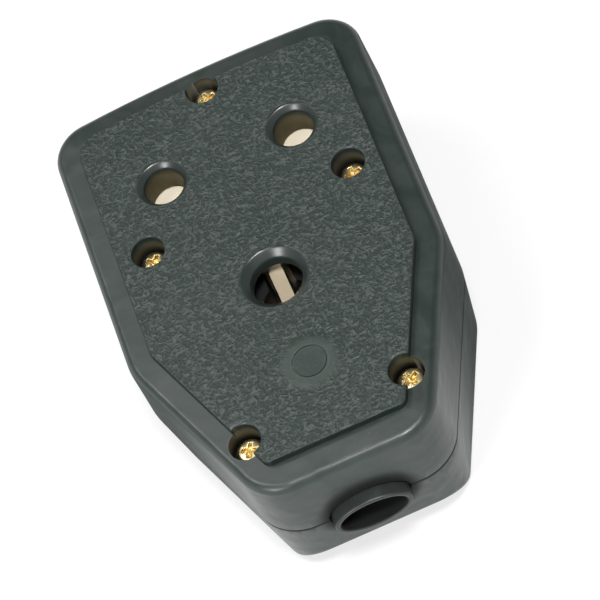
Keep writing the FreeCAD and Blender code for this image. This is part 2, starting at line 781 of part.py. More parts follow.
def make_shutter():
    """Slide with two wings over the line holes and a ramp under the earth hole, pushed open by the earth pin."""
    shutter = new_body("shutter")
    low, high = "y_pin - wing_below", "y_pin + wing_above"
    plate = sketch_on(shutter, "XY_Plane", "z_shutter_low")
    neck = "y_seat - seat_long"
    right = [("wing_in", "y_pin + bridge_above"), ("wing_in", high), ("wing_out", high), ("wing_out", low),
             ("leg_wide / 2", low), ("leg_wide / 2", neck)]
    add_loop(plate, right + [(f"-({x})", y) for x, y in reversed(right)])
    pad(shutter, plate, "shutter_thick")
    ramp = sketch_on(shutter, "YZ_Plane", "-ramp_wide / 2")
    add_loop(ramp, [("y_ramp_head", "z_ramp_head"), ("y_ramp_tip", "z_ramp_tip"), ("y_ramp_tip", "z_ramp_low"),
                    ("y_seat", "z_ramp_low"), ("y_seat", "z_ramp_head")])
    pad(shutter, ramp, "ramp_wide")
    seat = sketch_on(shutter, "XY_Plane", "z_ramp_low")
    add_box(seat, "-seat_wide / 2", "seat_wide / 2", "y_seat - seat_long", "y_seat")
    pad(shutter, seat, "z_shutter_top - z_ramp_low")
    spigot = sketch_on(shutter, "XZ_Plane", "-y_seat")
    add_circle(spigot, ("0", "z_spring"), "spigot_dia")
    pad(shutter, spigot, "spigot_long", down=True)
    for place in (("wing_out", high), ("wing_out", low)):
        soften(shutter, "Fillet", stands_at(place), Radius="shutter_thick")
    return shutter


def make_shutter_spring():
    """Coil spring between the shutter's seat and the end of the base's channel, a ruled loft along a helix."""
    thick, turns = number("spring_wire / 2"), number("spring_turns")
    radius = number("spring_dia - spring_wire") / 2
    long = number("spring_rest - spring_wire - 2 * fit_gap")
    stations = round(turns * COIL_STEPS)
    sections = []
    for index in range(stations + 1):
        turn = 2 * math.pi * turns * index / stations
        out = Vector(math.cos(turn), math.sin(turn), 0)
        middle = out * radius + Vector(0, 0, long * index / stations)
        corners = [2 * math.pi * side / WIRE_SIDES for side in range(WIRE_SIDES)]
        ring = [middle + out * (thick * math.cos(a)) + Vector(0, 0, thick * math.sin(a)) for a in corners]
        sections.append(Part.makePolygon(ring + ring[:1]))
    spring = doc.addObject("Part::Feature", "shutter_spring")
    spring.Label = "shutter_spring"
    spring.Shape = Part.makeLoft(sections, True, True)
    start = Vector(0, number("y_seat + spring_wire / 2 + fit_gap"), number("z_spring"))
    spring.Placement = Placement(start, Rotation(Vector(1, 0, 0), -90))
    return spring


def make_contact(label, centre, tube_r, bore, span, block_at):
    """Split brass tube with a terminal block on one side.

    centre is the pin's place, span the tube's lowest and highest levels, and block_at the block's middle in X,
    its free end in Y and its lowest level.
    """
    low, high = span
    x, end, floor = block_at
    contact = new_body(label)
    tube = sketch_on(contact, "XY_Plane", low)
    add_circle(tube, centre, f"2 * {tube_r}")
    pad(contact, tube, f"{high} - ({low})")
    terminal = sketch_on(contact, "XY_Plane", floor)
    add_box(terminal, f"{x} - block_wide / 2", f"{x} + block_wide / 2", end, centre[1])
    pad(contact, terminal, "block_high")
    hole = sketch_on(contact, "XY_Plane", high)
    add_circle(hole, centre, bore)
    pocket(contact, hole, f"{high} - ({low})")
    for wide, deep in ((tube_r, "tube_slot / 2"), ("tube_slot / 2", tube_r)):
        slit = sketch_on(contact, "XY_Plane", high)
        add_box(slit, f"{centre[0]} - {wide}", f"{centre[0]} + {wide}",
                f"{centre[1]} - {deep}", f"{centre[1]} + {deep}")
        pocket(contact, slit, "tube_slot_deep")
    wire = sketch_on(contact, "XZ_Plane", f"-({end})")
    add_circle(wire, (x, f"{floor} + wire_up"), "wire_hole")
    pocket(contact, wire, "wire_deep")
    screw = sketch_on(contact, "XY_Plane", f"{floor} + block_high")
    add_circle(screw, (x, f"{end} + terminal_inset"), "terminal_dia + 2 * fit_gap")
    pocket(contact, screw, "block_high - wire_up")
    return contact


def make_contacts():
    """Two line contacts, mirrored, and the longer earth contact."""
    made = []
    for label, side, place in (("live_contact", -1, LINE_PINS[0]), ("neutral_contact", 1, LINE_PINS[1])):
        made.append(make_contact(label, place, "pin_tube_r", "pin_tube_bore", ("z_pin_foot", "z_pin_tube_top"),
                                 (f"{side} * x_block", "y_block", "z_pin_block")))
    made.append(make_contact("earth_contact", EARTH_PIN, "earth_tube_r", "earth_tube_bore",
                             ("z_earth_foot", "z_earth_tube_top"), ("0", "y_earth_block", "z_earth_block")))
    return made


def band_shape(tube_r):
    """Make one open spring band, its foot at the origin."""
    inner = number(f"{tube_r} + fit_gap / 2")
    outer = inner + number("band_thick")
    high, slit = number("band_high"), number("band_slit")
    ring = Part.makeCylinder(outer, high).cut(Part.makeCylinder(inner, high))
    return ring.cut(Part.makeBox(slit, outer, high, Vector(-slit / 2, 0, 0)))


def make_bands():
    """Spring bands round the tops of the split tubes."""
    line = [(x, y, "z_pin_tube_top - band_drop - band_high") for x, y in LINE_PINS]
    earth = [(*EARTH_PIN, "z_earth_tube_top - band_drop - band_high")]
    return [group("line_bands", copies(band_shape("pin_tube_r"), line)),
            group("earth_band", copies(band_shape("earth_tube_r"), earth))]


def make_case_screws():
    """Five pan-head screws with a cross recess, heads up."""
    top = "head_high"
    screw = turned("case_screw_form", [
        ("0", "-(z_seat - z_part + screw_bite)"), ("screw_dia / 2", "-(z_seat - z_part + screw_bite)"),
        ("screw_dia / 2", "0"), ("head_dia / 2", "0"), ("head_dia / 2", f"{top} * 0.55"), ("head_dia / 2 * 0.8", f"{top} * 0.88"),
        ("head_dia / 4", top), ("0", top)])
    cross = sketch_on(screw, "XY_Plane", top)
    arm, half = "recess_long / 2", "recess_wide / 2"
    quarter = [(half, f"-{half}"), (arm, f"-{half}"), (arm, half), (half, half), (half, arm), (f"-{half}", arm)]
    add_loop(cross, quarter + [(f"-({x})", f"-({y})") for x, y in quarter])
    pocket(screw, cross, "recess_deep")
    return group("case_screws", copies(screw.Shape, [(x, y, "z_seat") for x, y in CASE_SCREWS]))


def ring_shape(outer, inner, high):
    """Make an upright bush, its foot at the origin."""
    bush = Part.makeCylinder(number(outer) / 2, number(high))
    return bush.cut(Part.makeCylinder(number(inner) / 2, number(high)))


def make_inserts():
    """Threaded bushes in the rear shell, for the case screws and for the clamp screws."""
    case = ring_shape("insert_dia", "screw_dia + fit_gap", "insert_long")
    clamp = ring_shape("clamp_insert_dia", "clamp_screw_dia + fit_gap", "clamp_insert_long")
    foot = "z_part - insert_sink - insert_long"
    return [group("case_inserts", copies(case, [(x, y, foot) for x, y in CASE_SCREWS])),
            group("clamp_inserts", copies(clamp, [(x, y, "z_saddle - clamp_insert_long") for x, y in CLAMP_SCREWS]))]


def slotted_screw(label, shank_dia, shank_long, head_dia, head_high):
    """Turn a cheese-head screw with a straight slot, the underside of its head at the origin."""
    screw = turned(label, [("0", f"-({shank_long})"), (f"{shank_dia} / 2", f"-({shank_long})"),
                           (f"{shank_dia} / 2", "0"), (f"{head_dia} / 2", "0"), (f"{head_dia} / 2", head_high),
                           ("0", head_high)])
    slot = sketch_on(screw, "XY_Plane", head_high)
    add_box(slot, f"-{head_dia} / 2", f"{head_dia} / 2", "-slot_wide / 2", "slot_wide / 2")
    pocket(screw, slot, f"{head_high} * 0.5")
    return screw.Shape


def make_inner_screws():
    """Terminal screws, cover screws and clamp screws."""
    terminal = slotted_screw("terminal_form", "terminal_dia",
                             "block_high - wire_up - wire_hole / 2 + terminal_lift + terminal_dip",
                             "terminal_head_dia", "terminal_head_high")
    cover = slotted_screw("cover_form", "cover_screw_dia", "cover_screw_long", "cover_head_dia", "cover_head_high")
    clamp = slotted_screw("clamp_form", "clamp_screw_dia", "clamp_foot + clamp_insert_long - fit_gap",
                          "clamp_head_dia", "clamp_head_high")
    return [group("terminal_screws", copies(terminal, [(x, y, f"{z} + terminal_lift") for x, y, z in TERMINALS])),
            group("cover_screws", copies(cover, [(x, y, "z_cover_top - cover_head_high") for x, y in COVER_SCREWS])),
            group("clamp_screws", copies(clamp, [(x, y, "z_clamp_foot") for x, y in CLAMP_SCREWS]))]


def make_cord_clamp():
    """Bridge over the cord with a flat foot at each end."""
    span = ("y_clamp - clamp_wide / 2", "y_clamp + clamp_wide / 2")
    feet = block("clamp_feet", ("-clamp_half", "clamp_half"), span, ("z_saddle", "z_clamp_foot"))
    arch = lying_cylinder("clamp_arch", "0", "z_part", *span, "cord_dia + 2 * clamp_bar")
    below = block("clamp_below", ("-clamp_half", "clamp_half"), ("y_clamp - clamp_wide", "y_clamp + clamp_wide"),
                  ("0", "z_saddle"))
    room = lying_cylinder("clamp_room", "0", "z_part", "y_clamp - clamp_wide", "y_clamp + clamp_wide", "cord_dia")
    holes = [cylinder("clamp_hole", place, "z_saddle - wall", "z_clamp_foot + wall", "clamp_screw_dia + 2 * fit_gap")
             for place in CLAMP_SCREWS]
    bridge = fuse("clamp_bridge", [feet, arch])
    return finish("cord_clamp", cut("clamp_cut", bridge, [below, room] + holes))


def main():
    """Build every sub-part, check it and write it to its own file."""
    made = [make_front_shell(), make_rear_shell(), make_cord_sleeve(), make_contact_base(), make_contact_cover(),
            make_shutter(), make_shutter_spring(), *make_contacts(), *make_bands(), make_case_screws(),
            *make_inserts(), *make_inner_screws(), make_cord_clamp()]
    doc.recompute()
    failed = [item.Label for item in doc.Objects if {"Invalid", "Error"} & set(item.State)]
    if failed:
        raise RuntimeError(f"features failed: {failed}")
    for item in made:
        if item.Shape.isNull() or not item.Shape.isValid() or not item.Shape.Solids:
            raise RuntimeError(f"{item.Label} has no valid solid")
    os.makedirs("parts", exist_ok=True)
    for item in made:
        item.Shape.exportStep(f"parts/{item.Label}.step")
        box = item.Shape.BoundBox
        print(f"{item.Label}: {len(item.Shape.Solids)} solid(s), {item.Shape.Volume:.1f} mm3, "
              f"x {box.XMin:.2f}..{box.XMax:.2f}, y {box.YMin:.2f}..{box.YMax:.2f}, z {box.ZMin:.2f}..{box.ZMax:.2f}")


main()
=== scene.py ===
import logging
import math
from collections.abc import Callable
from dataclasses import dataclass, field
from enum import Enum
from functools import cached_property

import bmesh
import bpy
from mathutils import Matrix, Vector


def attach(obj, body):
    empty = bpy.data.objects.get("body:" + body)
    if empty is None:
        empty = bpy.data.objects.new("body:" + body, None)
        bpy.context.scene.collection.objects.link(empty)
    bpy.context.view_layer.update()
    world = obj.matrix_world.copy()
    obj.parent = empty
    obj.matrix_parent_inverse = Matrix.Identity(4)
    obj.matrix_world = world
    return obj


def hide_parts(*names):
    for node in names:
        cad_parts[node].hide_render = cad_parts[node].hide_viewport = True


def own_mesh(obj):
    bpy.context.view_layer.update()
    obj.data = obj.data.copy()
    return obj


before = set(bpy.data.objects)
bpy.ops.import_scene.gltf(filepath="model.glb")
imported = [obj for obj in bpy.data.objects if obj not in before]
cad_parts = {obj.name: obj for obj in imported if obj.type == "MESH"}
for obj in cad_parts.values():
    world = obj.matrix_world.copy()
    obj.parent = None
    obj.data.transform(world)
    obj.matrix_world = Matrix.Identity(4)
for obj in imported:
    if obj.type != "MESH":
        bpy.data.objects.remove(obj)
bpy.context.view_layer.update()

LOG = logging.getLogger("coupler")
MM = 0.001
# Within these distances in metres points are joined: in a CAD copy, and in a new piece
WELD = 1e-6
WELD_NEW = 1e-7
# Faces that turn by less are made one, and edges that turn by more stay sharp
FLAT_DEG = 0.4
SHARP_DEG = 35.0
# How near to a circle's level and radius the ends of its edges lie
LEVEL_MM = 0.02
REACH_MM = 0.05
Colour = tuple[float, float, float]
Point = tuple[float, float, float]
Place = tuple[float, float]
Span = tuple[float, float]


class Body(Enum):
    """The bodies that pieces ride on."""

    HOUSING = "housing"
    SHUTTER = "shutter"


class Slot(Enum):
    """The record's material slots."""

    RUBBER = "rubber"
    SLEEVE = "sleeve_rubber"
    SCREW = "screw_brass"
    CONTACT = "contact_brass"
    SHUTTER = "shutter_plastic"
    INSULATOR = "insulator"
    SPRING = "spring_steel"
    PLATED = "plated_steel"
    CLAMP = "clamp_plastic"


class Texture(Enum):
    """How a rubber surface left its mould."""

    GRAINED = "grained panel in a smooth rim"
    SMOOTH = "smooth all over"


class Flow:
    """A value that runs through a node tree; maths on it adds Math nodes."""

    def __init__(self, tree: "Tree", socket: bpy.types.NodeSocket) -> None:
        """Wrap a socket of a tree."""
        self.tree = tree
        self.socket = socket

    def math(self, operation: str, *terms: "Flow | float") -> "Flow":
        """Add a Math node.

        Args:
            operation: The node's operation.
            terms: Its inputs in order.

        Returns:
            The node's result.
        """
        return self.tree.add("Math", {"operation": operation}, dict(enumerate(terms)))

    def __add__(self, other: "Flow | float") -> "Flow":
        """Add."""
        return self.math("ADD", self, other)

    def __radd__(self, other: float) -> "Flow":
        """Add to a number."""
        return self.math("ADD", other, self)

    def __sub__(self, other: "Flow | float") -> "Flow":
        """Take away."""
        return self.math("SUBTRACT", self, other)

    def __rsub__(self, other: float) -> "Flow":
        """Take away from a number."""
        return self.math("SUBTRACT", other, self)

    def __mul__(self, other: "Flow | float") -> "Flow":
        """Multiply."""
        return self.math("MULTIPLY", self, other)

    def __rmul__(self, other: float) -> "Flow":
        """Multiply a number."""
        return self.math("MULTIPLY", other, self)

    def __abs__(self) -> "Flow":
        """Drop the sign."""
        return self.math("ABSOLUTE", self)

    def least(self, other: "Flow | float") -> "Flow":
        """Take the smaller of two."""
        return self.math("MINIMUM", self, other)

    def most(self, other: "Flow | float") -> "Flow":
        """Take the larger of two."""
        return self.math("MAXIMUM", self, other)

    def blend_most(self, other: "Flow | float", soft: float) -> "Flow":
        """Take the larger of two, rounded where they cross."""
        return self.math("SMOOTH_MAX", self, other, soft)

    def rise(self, low: float, high: float) -> "Flow":
        """Turn a value into a soft mask.

        Args:
            low: Where the mask is 0.
            high: Where the mask is 1.

        Returns:
            The mask.
        """
        return self.tree.add("MapRange", {"interpolation_type": "SMOOTHSTEP"},
                             {"Value": self, "From Min": low, "From Max": high})

    def band(self, low: float, high: float, soft: float) -> "Flow":
        """Turn a value into a mask that is 1 between two levels and fades over a soft width on both sides."""
        return self.rise(low - soft, low) * (1 - self.rise(high, high + soft))


class Tree:
    """A node tree, with the surface's place in millimetres."""

    def __init__(self, owner: bpy.types.Material | bpy.types.World) -> None:
        """Start an empty tree.

        Args:
            owner: The material or world that the tree belongs to.
        """
        owner.use_nodes = True
        self.owner = owner
        self.graph = owner.node_tree
        self.graph.nodes.clear()

    @cached_property
    def mm(self) -> Flow:
        """The place in the shared frame."""
        spot = self.add("TexCoord", output="Object")
        return self.add("VectorMath", {"operation": "SCALE"}, {0: spot, "Scale": 1 / MM})

    @cached_property
    def x(self) -> Flow:
        """The place across."""
        return self.part(self.mm, "X")

    @cached_property
    def y(self) -> Flow:
        """The place along."""
        return self.part(self.mm, "Y")

    @cached_property
    def z(self) -> Flow:
        """The height above the floor."""
        return self.part(self.mm, "Z")

    @cached_property
    def flat(self) -> Flow:
        """The place in plan."""
        return self.add("VectorMath", {"operation": "MULTIPLY"}, {0: self.mm, 1: (1.0, 1.0, 0.0)})

    @cached_property
    def up(self) -> Flow:
        """How much the surface faces up."""
        return self.part(self.add("NewGeometry", output="Normal"), "Z")

    def add(self, kind: str, settings: dict[str, object] | None = None,
            sockets: dict[int | str, object] | None = None, output: int | str = 0) -> Flow:
        """Add a node.

        Args:
            kind: The node's type, without its common prefix.
            settings: Its properties.
            sockets: The values or links of its inputs.
            output: Which of its outputs is wanted.

        Returns:
            That output.
        """
        node = self.graph.nodes.new(f"ShaderNode{kind}")
        for key, value in (settings or {}).items():
            setattr(node, key, value)
        for key, value in (sockets or {}).items():
            socket = node.inputs[key]
            if isinstance(value, Flow):
                self.graph.links.new(value.socket, socket)
            elif socket.type == "RGBA":
                socket.default_value = (*value, 1.0)
            else:
                socket.default_value = value
        return Flow(self, node.outputs[output] if node.outputs else None)

    def part(self, vector: Flow, axis: str) -> Flow:
        """Take one part of a vector."""
        return self.add("SeparateXYZ", sockets={0: vector}, output=axis)

    def mix(self, share: Flow | float, first: Flow | Colour, second: Flow | Colour) -> Flow:
        """Mix two colours.

        Args:
            share: How much of the second colour, from 0 to 1.
            first: The colour at 0.
            second: The colour at 1.

        Returns:
            The mixed colour.
        """
        return self.add("Mix", {"data_type": "RGBA"}, {0: share, 6: first, 7: second}, output=2)

    def noise(self, per_mm: float, detail: float = 2.0, rough: float = 0.5, warp: float = 0.0) -> Flow:
        """Add a noise.

        Args:
            per_mm: Its cells to a millimetre.
            detail: Octaves.
            rough: How strong the fine octaves are.
            warp: How much it is distorted.

        Returns:
            The noise, about 0.5 on average.
        """
        return self.add("TexNoise", None, {"Vector": self.mm, "Scale": per_mm, "Detail": detail,
                                           "Roughness": rough, "Distortion": warp})

    def cells(self, per_mm: float) -> Flow:
        """Add a cell pattern and give the distance to the cell's centre."""
        return self.add("TexVoronoi", None, {"Vector": self.mm, "Scale": per_mm})

    def reach(self, place: Place) -> Flow:
        """Measure the distance in plan from an upright axis, in millimetres."""
        axis = (*place, 0.0)
        return self.add("VectorMath", {"operation": "DISTANCE"}, {0: self.flat, 1: axis}, output="Value")

    def relief(self, height: Flow, depth_mm: float, strength: float = 1.0) -> Flow:
        """Turn a height into a normal.

        Args:
            height: The height, from 0 to 1.
            depth_mm: How deep 1 is.
            strength: How much of it shows.

        Returns:
            The normal.
        """
        return self.add("Bump", None, {"Height": height, "Distance": depth_mm * MM, "Strength": strength})

    def close(self, shader: Flow, kind: str = "Material") -> None:
        """Link a shader to the output of a material or a world."""
        self.add(f"Output{kind}", None, {"Surface": shader})

    def surface(self, constants: dict[str, float], varying: dict[str, Flow]) -> bpy.types.Material:
        """Close the tree with a Principled shader.

        Args:
            constants: Socket values that are the same all over.
            varying: Links to the sockets that vary.

        Returns:
            The material.
        """
        self.close(self.add("BsdfPrincipled", None, {**constants, **varying}))
        return self.owner

    def seen(self) -> Flow:
        """Tell the rays that show the background: the camera's, and those off gloss or through glass."""
        kinds = ("Camera", "Glossy", "Transmission")
        rays = [self.add("LightPath", output=f"Is {kind} Ray") for kind in kinds]
        return rays[0].most(rays[1]).most(rays[2])


@dataclass(frozen=True)
class Layout:
    """Places on the face that finishes and pieces share, in millimetres."""

    pins: tuple[Place, ...] = ((-12.7, 24.4), (12.7, 24.4))
    earth: Place = (0.0, -4.18)
    pin_r: float = 3.7
    earth_r: float = 4.7
    pin_lip: float = 1.1
    earth_lip: float = 1.5
    screws: tuple[Place, ...] = ((0.0, 40.5), (-19.4, 11.9), (19.4, 11.9), (-15.1, -32.6), (15.1, -32.6))
    screw_r: float = 3.1
    spot: Place = (0.4, -23.4)
    spot_r: float = 3.3
    halo: Span = (4.2, 6.2)
    half_w: float = 30.2
    top: float = 46.9
    end: float = -44.6
    slant: Place = (0.9267, -0.3760)
    slant_out: float = 31.6
    rim_wide: float = 5.0
    # bore_half sizes the painted shade in the nozzle's throat, root_half the painted shadow round its root
    bore_half: Place = (6.3, 3.4)
    root_half: Place = (9.8, 8.0)
    face: float = 33.0
    panel_up: Span = (32.75, 32.95)
    seam: float = 17.0


LAYOUT = Layout()


@dataclass
class Look:
    """What varies over a rubber surface, while its tree is built."""

    colour: Flow
    rough: Flow
    gloss: Flow
    height: Flow

    def tint(self, share: Flow, colour: Colour) -> None:
        """Mix some of a colour into the surface's own."""
        self.colour = self.colour.tree.mix(share, self.colour, colour)


@dataclass(frozen=True)
class Skin:
    """Plain moulded rubber: bloom in clouds, smears of gloss and walls dulled by handling.

    Patterns are sized in cells to a millimetre. A span is where a mask starts and ends: a tilt is measured
    in how much the surface faces up, along in millimetres of y, and the others in the pattern's own values.
    """

    cloud: float = 0.05
    cloud_span: Span = (0.35, 0.75)
    cloud_bloom: float = 0.12
    cloud_rough: float = 0.12
    fine: float = 6.0
    fine_rough: float = 0.08
    fine_high: float = 0.06
    swell: float = 0.13
    swell_high: float = 3.0
    smear: float = 0.11
    smear_span: Span = (0.35, 0.65)
    smear_rough: float = 0.1
    smear_gloss: float = 0.6
    rough: float = 0.30
    gloss: float = 0.40
    edge_tilt: Span = (0.3, 0.85)
    edge_soft: float = 0.15
    # Lighter colour on tilted, rounded faces: wear, and painted sheen
    edge_wear_and_sheen: float = 0.15
    edge_matt: float = 0.45
    wall_tilt: Span = (0.25, 0.65)
    wall_matt: float = 0.65
    wall_smooth: float = 0.05
    handled_along: Span = (-42.0, -14.0)
    handled_matt: float = 0.35
    handled_rough: float = 0.45
    mote: float = 0.9
    mote_size: Span = (0.05, 0.10)
    mote_span: Span = (0.54, 0.62)
    mote_pale: float = 0.6


@dataclass(frozen=True)
class Grain:
    """The panel's moulded grain: worm-like strokes with pebbles between them.

    Patterns are sized in cells to a millimetre.
    """

    deep: float = 0.22
    rough: float = 0.10
    gloss: float = 0.22
    worm: float = 0.94
    worm_half: float = 0.16
    gaps: float = 1.2
    gaps_span: Span = (0.28, 0.62)
    stroke_high: float = 0.8
    stroke_pale: float = 0.44
    stroke_gloss: float = 0.45
    stroke_smooth: float = 0.08
    pebble: float = 1.9
    pebble_span: Span = (0.3, 0.65)
    pebble_high: float = 0.55
    halo_plain: float = 0.9
    halo_pale: float = 0.2
    mark_soft: float = 0.3
    ring_wide: float = 0.25
    ring_pale: float = 0.25


@dataclass(frozen=True)
class Shades:
    """Painted shade, painted reflected light, and dark and dull places of the rubber, with lengths in
    millimetres.

    A span is where a mask starts and ends: a tilt is measured in how much the surface faces up, along and up
    in y and z, and in from the outline.
    """

    corner_soft: float = 5.0
    crown: float = 0.17
    rim_tilt: Span = (0.8, 0.95)
    rim_dark: float = 0.55
    # Where the painted shade in the step up to the panel lies
    step_in: Span = (3.0, 4.0)
    step_up: Span = (31.45, 31.6)
    inside_in: Span = (1.0, 2.0)
    inside_up: Span = (30.2, 31.2)
    # Where the painted shadow on the wall round the nozzle's root lies
    root_fade: Span = (0.5, 1.15)
    root_along: Span = (-43.9, -42.9)
    root_rough: float = 0.5
    # Where the painted shade in the nozzle's throat lies
    throat_fade: Span = (0.97, 1.06)
    throat_rough: float = 0.45
    seam_half: float = 0.25
    seam_soft: float = 0.12
    lip_fade: Span = (-0.1, 0.3)
    lip_dark: float = 0.85
    lip_gloss: float = 0.95
    lip_tilt: Span = (0.55, 0.9)
    lip_soft: float = 0.06
    hole_fade: Span = (0.1, 0.4)
    hole_up: Span = (29.9, 32.0)
    # How much painted reflected light lies on the screw holes' walls
    sink_bounce: float = 0.85
    # Where painted shade fills the bottoms of the screw holes
    well_shade_up: Span = (28.0, 30.8)


@dataclass(frozen=True)
class RubberFinish:
    """Moulded black rubber, grained or smooth, with some bloom and dust, and with painted shade, painted
    reflected light and painted sheen in places.
    """

    name: str
    texture: Texture
    tone: Colour = (0.019, 0.031, 0.026)
    pit: Colour = (0.009, 0.016, 0.013)
    bloom: Colour = (0.085, 0.098, 0.090)
    dust: Colour = (0.20, 0.19, 0.17)
    # Painted reflected light from the cream slide and the brass, on the holes' walls
    painted_bounce: Colour = (0.085, 0.070, 0.032)
    # Painted shade in the nozzle's throat, and painted shadow round its root
    painted_shade: Colour = (0.001, 0.002, 0.0015)
    # Painted shade at the bottoms of the screw holes
    well_shade: Colour = (0.001, 0.001, 0.001)
    skin: Skin = Skin()
    grain: Grain = Grain()
    shades: Shades = Shades()
    refraction: float = 1.5
    specular: float = 0.40
    coat_rough: float = 0.30

    def wall(self, tree: Tree) -> Flow:
        """Mask the steep walls."""
        return 1 - tree.up.rise(*self.skin.wall_tilt)

    def inset(self, tree: Tree) -> Flow:
        """Measure how far a place lies in from the house-shaped outline, in plan.

        Args:
            tree: The material's tree.

        Returns:
            The distance, with the outline's corners rounded.
        """
        side = abs(tree.x)
        slant = side * LAYOUT.slant[0] + tree.y * LAYOUT.slant[1] - LAYOUT.slant_out
        out = side - LAYOUT.half_w
        for edge in (slant, tree.y - LAYOUT.top, LAYOUT.end - tree.y):
            out = out.blend_most(edge, self.shades.corner_soft)
        return 0.0 - out

    def discs(self, tree: Tree, places: tuple[Place, ...], radius: float, fade: Span) -> Flow:
        """Mask round places in plan.

        Args:
            tree: The material's tree.
            places: Their middles.
            radius: Their radius.
            fade: Where the mask starts and ends to fade, past the radius.

        Returns:
            The mask.
        """
        mask = 0.0
        for place in places:
            mask = mask + (1 - tree.reach(place).rise(radius + fade[0], radius + fade[1]))
        return mask

    def holes(self, tree: Tree, places: tuple[Place, ...], radius: float) -> Flow:
        """Mask the walls of round holes, fading upwards.

        Args:
            tree: The material's tree.
            places: The holes' middles.
            radius: The holes' radius.

        Returns:
            The mask.
        """
        shades = self.shades
        return self.discs(tree, places, radius, shades.hole_fade) * (1 - tree.z.rise(*shades.hole_up))

    def oval(self, tree: Tree, half: Place, fade: Span) -> Flow:
        """Mask the inside of an oval round the nozzle's axis.

        Args:
            tree: The material's tree.
            half: The oval's half width and half height.
            fade: The squared reach where the mask starts to fade, and where it ends.

        Returns:
            The mask.
        """
        across = tree.x * (1 / half[0])
        up = (tree.z - LAYOUT.seam) * (1 / half[1])
        return 1 - (across * across + up * up).rise(*fade)

    def base(self, tree: Tree, cloud: Flow) -> Look:
        """Start with plain rubber.

        Args:
            tree: The material's tree.
            cloud: The large noise that the bloom follows.

        Returns:
            The surface.
        """
        skin = self.skin
        fine = tree.noise(skin.fine)
        swell = tree.noise(skin.swell)
        smear = tree.noise(skin.smear, detail=3.0, rough=0.6, warp=1.0).rise(*skin.smear_span)
        edge = tree.up.band(*skin.edge_tilt, skin.edge_soft)
        wall = self.wall(tree)
        handled = tree.y.rise(*skin.handled_along)
        # The lightening of tilted faces is wear together with painted sheen
        bloom = cloud.rise(*skin.cloud_span) * skin.cloud_bloom + edge * fine * skin.edge_wear_and_sheen
        rough = skin.rough + skin.cloud_rough * cloud + skin.fine_rough * fine + skin.smear_rough * smear
        matt = wall * (skin.wall_matt + skin.handled_matt * handled)
        return Look(
            colour=tree.mix(bloom, self.tone, self.bloom),
            rough=rough + wall * (handled * skin.handled_rough - skin.wall_smooth),
            gloss=(skin.gloss + skin.smear_gloss * smear) * (1 - matt) * (1 - skin.edge_matt * edge),
            height=self.grain.deep * (skin.fine_high * fine + skin.swell_high * swell))

    def lay_grain(self, tree: Tree, look: Look, panel: Flow) -> None:
        """Lay the grain on the panel, and leave it plain round the round mark.

        Args:
            tree: The material's tree.
            look: The surface.
            panel: The panel's mask.
        """
        grain = self.grain
        reach = tree.reach(LAYOUT.spot)
        plain = 1 - reach.rise(*LAYOUT.halo)
        ring = reach.band(LAYOUT.spot_r - grain.ring_wide, LAYOUT.spot_r, grain.mark_soft)
        outside = reach.rise(LAYOUT.spot_r - grain.mark_soft, LAYOUT.spot_r)
        mark = panel * plain * (outside * grain.halo_pale + grain.ring_pale * ring)
        worm = tree.noise(grain.worm, detail=1.0, rough=0.4, warp=0.5)
        ridge = 1 - abs(worm - 0.5).rise(0.0, grain.worm_half)
        strokes = ridge * tree.noise(grain.gaps, detail=1.0).rise(*grain.gaps_span)
        pebble = tree.noise(grain.pebble, rough=0.6)
        grained = panel * (1 - grain.halo_plain * plain)
        relief = grain.deep * (grain.stroke_high * strokes + grain.pebble_high * pebble)
        look.tint(grained * strokes * grain.stroke_pale + mark, self.bloom)
        look.tint(grained * (1 - pebble.rise(*grain.pebble_span)) * (1 - strokes), self.pit)
        gloss = grain.gloss + grain.stroke_gloss * strokes * (1 - plain)
        look.gloss = look.gloss * (1 - panel) + panel * gloss
        look.rough = look.rough + panel * (grain.rough - grain.stroke_smooth * strokes)
        look.height = look.height * (1 - grained) + grained * relief

    def shade_rim(self, tree: Tree, look: Look, panel: Flow) -> None:
        """Darken the rim, paint shade in the step up to the panel and a shadow on the wall round the nozzle's
        root, and dull the inside.

        Args:
            tree: The material's tree.
            look: The surface.
            panel: The panel's mask.
        """
        shades = self.shades
        inset = self.inset(tree)
        wall = self.wall(tree)
        rim = tree.up.rise(*shades.rim_tilt) * (1 - panel)
        # Painted shade in the step up to the panel
        step = inset.rise(*shades.step_in) * wall * tree.z.rise(*shades.step_up)
        # Painted shadow on the end wall round the nozzle's root
        root = self.oval(tree, LAYOUT.root_half, shades.root_fade) * wall
        root = root * (1 - tree.y.rise(*shades.root_along))
        inside = inset.rise(*shades.inside_in) * (1 - tree.z.rise(*shades.inside_up))
        # The step's darkening is painted shade
        look.tint((rim * shades.rim_dark + step).least(1.0), self.pit)
        # Painted shadow at the nozzle's root
        look.tint(root, self.painted_shade)
        look.gloss = look.gloss * (1 - step) * (1 - root) * (1 - inside)
        look.rough = look.rough + root * shades.root_rough
        look.height = look.height + inset.least(LAYOUT.rim_wide) * shades.crown

    def shade_holes(self, tree: Tree, look: Look, lips: Flow) -> None:
        """Polish the pin holes' lips, paint reflected light on the holes' walls and paint shade at the
        bottoms of the screw holes.

        Args:
            tree: The material's tree.
            look: The surface.
            lips: The lips' mask.
        """
        shades = self.shades
        sinks = self.holes(tree, LAYOUT.screws, LAYOUT.screw_r)
        pins = self.holes(tree, LAYOUT.pins, LAYOUT.pin_r)
        polish = tree.up.band(*shades.lip_tilt, shades.lip_soft)
        look.tint(lips * shades.lip_dark, self.pit)
        # Painted reflected light on the holes' walls
        look.tint(sinks * shades.sink_bounce + pins, self.painted_bounce)
        # Painted shade at the bottoms of the screw holes
        look.tint(sinks * (1 - tree.z.rise(*shades.well_shade_up)), self.well_shade)
        look.gloss = look.gloss * (1 - lips) + lips * shades.lip_gloss * polish

